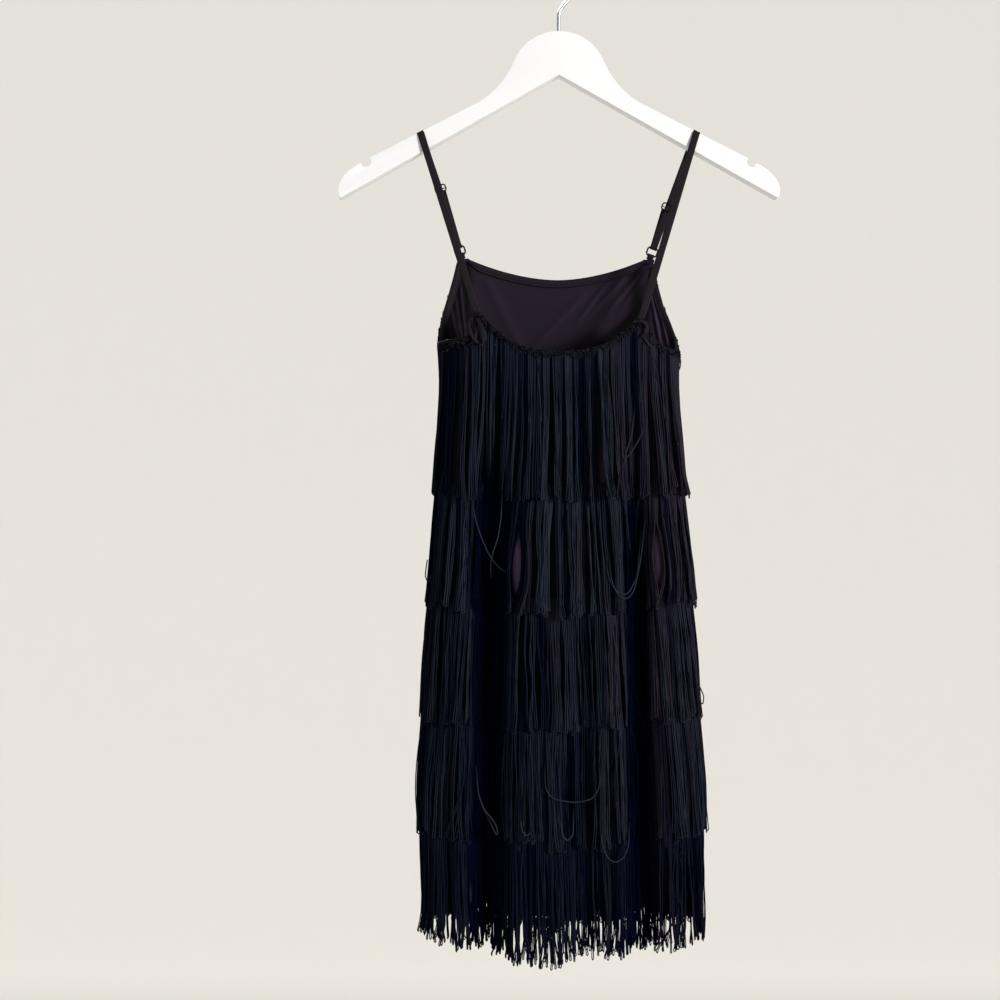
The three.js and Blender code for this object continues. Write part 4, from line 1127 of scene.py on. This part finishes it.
bendCentre = hookLook["wire"] / 2 - hookLook["radius"]
hookLean = math.radians(hookLook["lean"])
elbow = bendCentre - hookLook["radius"] / math.sin(hookLean)
woodTop = elbow - hookLook["stem"]
armSlope = math.radians(woodLook["slope"])


def armTop(across):
    start = woodLook["armStart"]
    return woodTop - start[1] - (across - start[0]) * math.tan(armSlope)


def curvePoints(controls, count):
    # points of a bezier curve of any order, after its first
    points = []
    for i in range(1, count + 1):
        level, t = [Vector(c) for c in controls], i / count
        while len(level) > 1:
            level = [a.lerp(b, t) for a, b in zip(level, level[1:])]
        points.append(level[0])
    return points


def halfOutline():
    look = woodLook
    start, tipStart, tip, corner = (Vector((look[key][0], -look[key][1]))
                                    for key in ("armStart", "tipStart", "tip", "corner"))
    end, radius = math.radians(look["domeEnd"]), look["domeRadius"]
    dome = [Vector((math.sin(a) * radius, -(1 - math.cos(a)) * radius)) for a in np.linspace(0, end, 22)]
    gapX, gapY = start.x - dome[-1].x, dome[-1].y - start.y
    reach = (gapY - gapX * math.tan(armSlope)) / (math.sin(end) - math.cos(end) * math.tan(armSlope))
    meet = dome[-1] + Vector((reach * math.cos(end), -reach * math.sin(end)))
    points = dome + curvePoints([dome[-1], meet, start], 12)
    points += [tipStart] + curvePoints([tipStart, (208, -137), (219.5, -146), tip], 10)
    points += [Vector((219.7, -162.5)), Vector((219.2, -164.8))]  # the rounded lower corner
    return points + [corner + Vector((0.6, 0.2)), corner - Vector((1.6, -0.7))]


def freshObject(name):
    piece = bpy.context.object
    piece.name = piece.data.name = name
    return piece


def applyAll(piece):
    selectOnly(piece)
    for modifier in list(piece.modifiers):
        bpy.ops.object.modifier_apply(modifier=modifier.name)


def makeWood():
    look = woodLook
    right = halfOutline()
    outline = right + [Vector((0, -look["crotch"]))] + [Vector((-p.x, p.y)) for p in reversed(right[1:])]
    bpy.ops.object.select_all(action="DESELECT")
    bpy.ops.mesh.primitive_circle_add(vertices=len(outline), radius=0.1, fill_type="NGON", location=(0, 0, 0))
    wood = freshObject("whiteHanger")
    for vertex, point in zip(wood.data.vertices, outline):
        vertex.co = (point.x * mm, look["thickness"] / 2 * mm, (woodTop + point.y) * mm)
    bpy.ops.object.mode_set(mode="EDIT")
    bpy.ops.mesh.select_all(action="SELECT")
    bpy.ops.mesh.extrude_region_move(TRANSFORM_OT_translate={"value": (0, -look["thickness"] * mm, 0)})
    bpy.ops.mesh.select_all(action="SELECT")
    bpy.ops.mesh.normals_make_consistent(inside=False)
    bpy.ops.object.mode_set(mode="OBJECT")
    across, below, radius = look["notch"]
    for sign in (-1, 1):
        place = (sign * across * mm, 0, (armTop(across) - below) * mm)
        bpy.ops.mesh.primitive_cylinder_add(vertices=40, radius=radius * mm, depth=0.04, location=place,
                                            rotation=(math.radians(90), 0, 0))
        cutter = bpy.context.object
        cut = wood.modifiers.new("notch", "BOOLEAN")
        cut.operation, cut.object, cut.solver = "DIFFERENCE", cutter, "EXACT"
        applyAll(wood)
        bpy.data.objects.remove(cutter)
    bevel = wood.modifiers.new("edge", "BEVEL")
    bevel.width, bevel.segments = look["edge"] * mm, 5
    bevel.limit_method, bevel.angle_limit = "ANGLE", math.radians(50)
    applyAll(wood)
    bpy.ops.object.shade_smooth_by_angle(angle=math.radians(look["smooth"]))
    wood.data.materials.append(paintWhite)
    settle(wood, "painted_wood", "hanger_wood")


def makeHook():
    look = hookLook
    radius = look["radius"]
    lower = Vector((0, 0, elbow - 5))
    upper = Vector((math.sin(hookLean) * 5, 0, elbow + math.cos(hookLean) * 5))
    points = [Vector((0, 0, woodTop - look["inWood"])), Vector((0, 0, woodTop - 4)), lower]
    points += curvePoints([lower, (0, 0, elbow), upper], 8)
    for angle in np.linspace(-hookLean, math.radians(look["tip"]), 56):
        points.append(Vector((math.cos(angle) * radius, 0, bendCentre + math.sin(angle) * radius)))
    bpy.ops.object.select_all(action="DESELECT")
    bpy.ops.curve.primitive_nurbs_path_add(location=(0, 0, 0))
    hook = bpy.context.object
    curve = hook.data
    curve.splines.clear()
    spline = curve.splines.new("POLY")
    spline.points.add(len(points) - 1)
    for place, point in zip(spline.points, points):
        place.co = (*(point * mm), 1)
    curve.bevel_depth, curve.bevel_resolution, curve.use_fill_caps = look["wire"] / 2 * mm, 5, True
    bpy.ops.object.convert(target="MESH")
    hook = freshObject("steelHook")
    # the free end is rounded off
    bpy.ops.object.mode_set(mode="EDIT")
    bpy.ops.mesh.select_all(action="DESELECT")
    bpy.ops.object.mode_set(mode="OBJECT")
    end = points[-1] * mm
    for face in hook.data.polygons:
        face.select = len(face.vertices) > 4 and (face.center - end).length < 0.002
    bpy.ops.object.mode_set(mode="EDIT")
    bpy.ops.mesh.bevel(offset=1.2 * mm, segments=4, affect="EDGES")
    bpy.ops.object.mode_set(mode="OBJECT")
    bpy.ops.object.shade_smooth_by_angle(angle=math.radians(look["smooth"]))
    hook.data.materials.append(wireSteel)
    settle(hook, "steel", "hanger_hook")


makeWood()
makeHook()
print("hanger made")

strapLook = {"width": 7.0, "thickness": 1.1, "over": {"left": 138, "right": 137.5},
             "rise": {"left": 60, "right": 42}, "doubled": 2.6,
             "nearSteps": (0.05, 0.97, 16), "farSteps": (0.03, 1, 16), "returnSteps": (0.1, 1, 8)}
ringLook = {"wire": 1.7, "wide": 10.4, "tall": 9.0, "corner": 3.2}
sliderLook = {"bar": 1.45, "wide": 10.8, "tall": 6.8, "corner": 2.2, "offset": 1.5, "inward": 1.3,
              "middleBar": 0.45}
tabLook = {"width": 6.4, "thickness": 1.0, "rise": 5.2, "foot": 0.52, "belly": 0.8, "seat": 0.9}


def unit(vector):
    return vector / np.linalg.norm(vector)


def roundedLoop(look, steps=6):
    x, y, corner = look["wide"] / 2 - look["corner"], look["tall"] / 2 - look["corner"], look["corner"]
    points = []
    for sx, sy, start in ((1, -1, 3), (1, 1, 0), (-1, 1, 1), (-1, -1, 2)):
        for i in range(steps + 1):
            angle = (start + i / steps) * math.pi / 2
            points.append((sx * x + math.cos(angle) * corner, sy * y + math.sin(angle) * corner))
    return points


def wireLoop(name, centre, width, up, outline, wire):
    origins = np.array([centre + width * x + up * y for x, y in outline])
    along = np.roll(origins, -1, 0) - np.roll(origins, 1, 0)
    along /= np.linalg.norm(along, axis=1, keepdims=True)
    across = np.broadcast_to(np.cross(up, width), origins.shape)
    return sweptPiece(name, origins, across, np.cross(along, across), circle(12, wire / 2), wireBlack,
                      closed=True, mapped=False)


def seatPoint(panel, side, sign):
    seat = panel[side]
    share = shareAt(panel, sign * (seat["inner"] + seat["outer"]) / 2)
    return inCloth(panel, np.array([share]), np.array([float(seat["height"])]), tube["cloth"] / 2)[0]


def strapSet(side):
    sign = -1 if side == "left" else 1
    gap, thickness = tube["clearance"], strapLook["thickness"]
    over, rise = strapLook["over"][side], strapLook["rise"][side]
    near, far = seatPoint(frontPanel, side, sign), seatPoint(backPanel, side, sign)
    along = np.array([math.cos(armSlope), 0, -sign * math.sin(armSlope)])
    lift = np.array([sign * math.sin(armSlope), 0, math.cos(armSlope)])
    bend = woodLook["edge"] + gap + thickness / 2
    flat = woodLook["thickness"] / 2 - woodLook["edge"]
    points, turns = [], []

    def push(point, turn):
        points.append(point)
        turns.append(turn)

    def cornerAt(depth):
        return np.array([sign * over, depth, armTop(over)]) - lift * woodLook["edge"]

    def roundEdge(facing, steps):
        for angle in steps:
            inY = np.array([0, facing * bend * math.cos(angle), 0])
            push(cornerAt(facing * flat) + inY + lift * bend * math.sin(angle), 1)

    # up from the front seat, over the wood, and down to the ring
    nearStart = near + np.array([0, 0, gap])
    nearTop = cornerAt(-flat) + np.array([0, -bend, 0])
    push(nearStart, 0)
    push(nearStart + np.array([0, 0, 2]), 0)
    for t in np.linspace(*strapLook["nearSteps"]):
        push(nearStart + (nearTop - nearStart) * t, t**1.5)
    quarter = [i / 8 * math.pi / 2 for i in range(9)]
    roundEdge(-1, quarter)
    roundEdge(1, quarter[::-1])
    farTop = points[-1]
    up = unit(farTop - far)
    width = unit(np.cross([0, 1, 0], up))
    rear = unit(np.cross(up, width))
    if rear[1] < 0:
        rear = -rear
    hug = ringLook["wire"] / 2 + gap + thickness / 2 + 0.2
    ringCentre = far + up * (gap + tabLook["rise"] + ringLook["tall"] / 2)
    topBar, lowBar = ringCentre + up * ringLook["tall"] / 2, ringCentre - up * ringLook["tall"] / 2
    mainEnd = topBar - rear * hug
    for t in np.linspace(*strapLook["farSteps"]):
        push(farTop + (mainEnd - farTop) * t, (1 - t) ** 1.5)
    for i in range(1, 10):
        angle = i / 9 * math.pi
        push(topBar - rear * hug * math.cos(angle) - up * hug * math.sin(angle), 0)
    run = unit(farTop - mainEnd)
    # the returned part hangs a little to the inner side, as the slider does
    inward = -sign * width
    sliderCentre = mainEnd + run * rise + inward * sliderLook["inward"]
    returnTop = mainEnd + run * (rise - sliderLook["bar"] - gap) + rear * (sliderLook["offset"] + gap / 2)
    returnTop += inward * strapLook["doubled"]
    returnStart = topBar + rear * hug
    for t in np.linspace(*strapLook["returnSteps"]):
        push(returnStart + (returnTop - returnStart) * t, 0)
    origins = np.array(points)
    turns = np.array(turns)[:, None]
    ribbon = ribbonSection(strapLook["width"], thickness)
    frames = framesAlong(origins, width * (1 - turns) + along * turns)
    settle(sweptPiece(side + "Strap", origins, *frames, ribbon, strapBlack), "trim", side + "_strap")

    ring = wireLoop(side + "Ring", ringCentre, width, up, roundedLoop(ringLook), ringLook["wire"])
    settle(ring, "coated_metal", side + "_ring")
    makeSlider(side, sliderCentre - rear * sliderLook["offset"], width, up, rear)
    makeTab(side, lowBar, width, up, rear, far[2] + gap)


def makeSlider(side, centre, width, up, rear):
    look = sliderLook
    rails = wireLoop(side + "Slider", centre, width, up, roundedLoop(look), look["bar"])
    corners = ((-1, 0), (-1, 2 * look["offset"]), (1, 2 * look["offset"]), (1, 0))
    ends = [centre + width * s * look["wide"] / 2 + rear * d for s, d in corners]
    path = np.array([a + (b - a) * t for a, b in zip(ends, ends[1:]) for t in (0.04, 0.5, 0.96)])
    frames = framesAlong(path, np.broadcast_to(up, path.shape))
    bar = sweptPiece(side + "SliderBar", path, *frames, circle(8, look["middleBar"]), wireBlack, mapped=False)
    settle(joined(side + "Slider", [rails, bar]), "coated_metal", side + "_slider")


def makeTab(side, lowBar, width, up, rear, seatHeight):
    # a loop of binding from the back seat round the ring's lower bar
    look = tabLook
    hole = ringLook["wire"] / 2 + tube["clearance"] + look["thickness"] / 2
    foot = -look["rise"]
    leg = [(look["foot"], foot), (look["foot"], foot * 0.6), (look["belly"], foot * 0.38),
           (hole * 0.93, -hole * 0.5)]
    loop = leg + [(hole * math.cos(a), hole * math.sin(a)) for a in np.linspace(-0.2, math.pi + 0.2, 15)]
    loop += [(-x, y) for x, y in leg[::-1]]
    origins = np.array([lowBar + rear * x + up * y for x, y in loop])
    origins[[0, -1], 2] = seatHeight + look["seat"]
    frames = framesAlong(origins, np.broadcast_to(width, origins.shape))
    section = ribbonSection(look["width"], look["thickness"])
    settle(sweptPiece(side + "RingTab", origins, *frames, section, tapeBlack), "trim", side + "_ring_tab")


strapSet("left")
strapSet("right")
print("straps made")


stageLook = {"wide": 3.8, "near": -3.4, "floor": -1.88, "wall": 1.98, "top": 1.1, "cove": 0.12}


def makeStage():
    # a pale floor that turns up into a wall
    look = stageLook
    cove = look["cove"]
    profile = [(look["near"], look["floor"])]
    for angle in np.linspace(0, math.pi / 2, 9):
        turned = (look["wall"] - cove + math.sin(angle) * cove, look["floor"] + cove * (1 - math.cos(angle)))
        profile.append(turned)
    profile.append((look["wall"], look["top"]))
    points = np.array([(x, y, z) for y, z in profile for x in (-look["wide"], look["wide"])]) / mm
    faces = [[2 * i, 2 * i + 1, 2 * i + 3, 2 * i + 2] for i in range(len(profile) - 1)]
    meshObject("paleBackdrop", points, faces, stageFinish("palePlaster", (0.735, 0.715, 0.677), 0.2))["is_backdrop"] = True


skyLook = {"strength": 0.35, "colour": (0.97, 0.98, 1.0, 1)}
sunLook = [  # where the light comes from, strength, spread in degrees, colour
    ("softWindow", (0.76, -0.64, 0.11), 3.15, 13, (1, 0.985, 0.955)),
    ("softBack", (-0.4, 0.66, 0.72), 2.4, 19.5, (0.97, 0.98, 1)),
    ("softCeiling", (0.05, -0.22, 1.0), 0.35, 39, (1, 0.99, 0.97)),
]


def makeLight():
    world = bpy.data.worlds.new("softRoom")
    bpy.context.scene.world = world
    world.use_nodes = True
    background = world.node_tree.nodes["Background"]
    background.inputs[0].default_value = skyLook["colour"]
    background.inputs[1].default_value = skyLook["strength"]
    for name, comesFrom, strength, spread, colour in sunLook:
        data = bpy.data.lights.new(name, "SUN")
        data.energy, data.angle, data.color = strength, math.radians(spread), colour
        lamp = bpy.data.objects.new(name, data)
        bpy.context.collection.objects.link(lamp)
        lamp.location = Vector(comesFrom) * 2
        lamp.rotation_mode = "QUATERNION"
        lamp.rotation_quaternion = (-Vector(comesFrom)).to_track_quat("-Z", "Y")
    bpy.context.scene.view_settings.view_transform = "Standard"


makeStage()
makeLight()
print("stage and light made")


def clothArea(panel):
    # the cut of a panel: its area, its mean girth from the underarm down and its longest drop
    shares = np.linspace(seamShare, 1 - seamShare, 300)
    drop = edgeAt(panel, shares) - hemAt(shares)
    length = float(np.mean(panel["lengths"][20:]))
    return float(np.mean(drop)) * length * mm * mm, length * mm, float(np.max(drop)) * mm


for cloth, panel, others in ((clothFront, frontPanel, ["neckBindingFront"]),
                             (clothBack, backPanel, ["neckBindingBack"])):
    area, wide, tall = clothArea(panel)

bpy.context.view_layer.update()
triangles = sum(len(p.vertices) - 2 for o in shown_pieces() if o.type == "MESH" for p in o.data.polygons)
print("triangles shown", triangles)
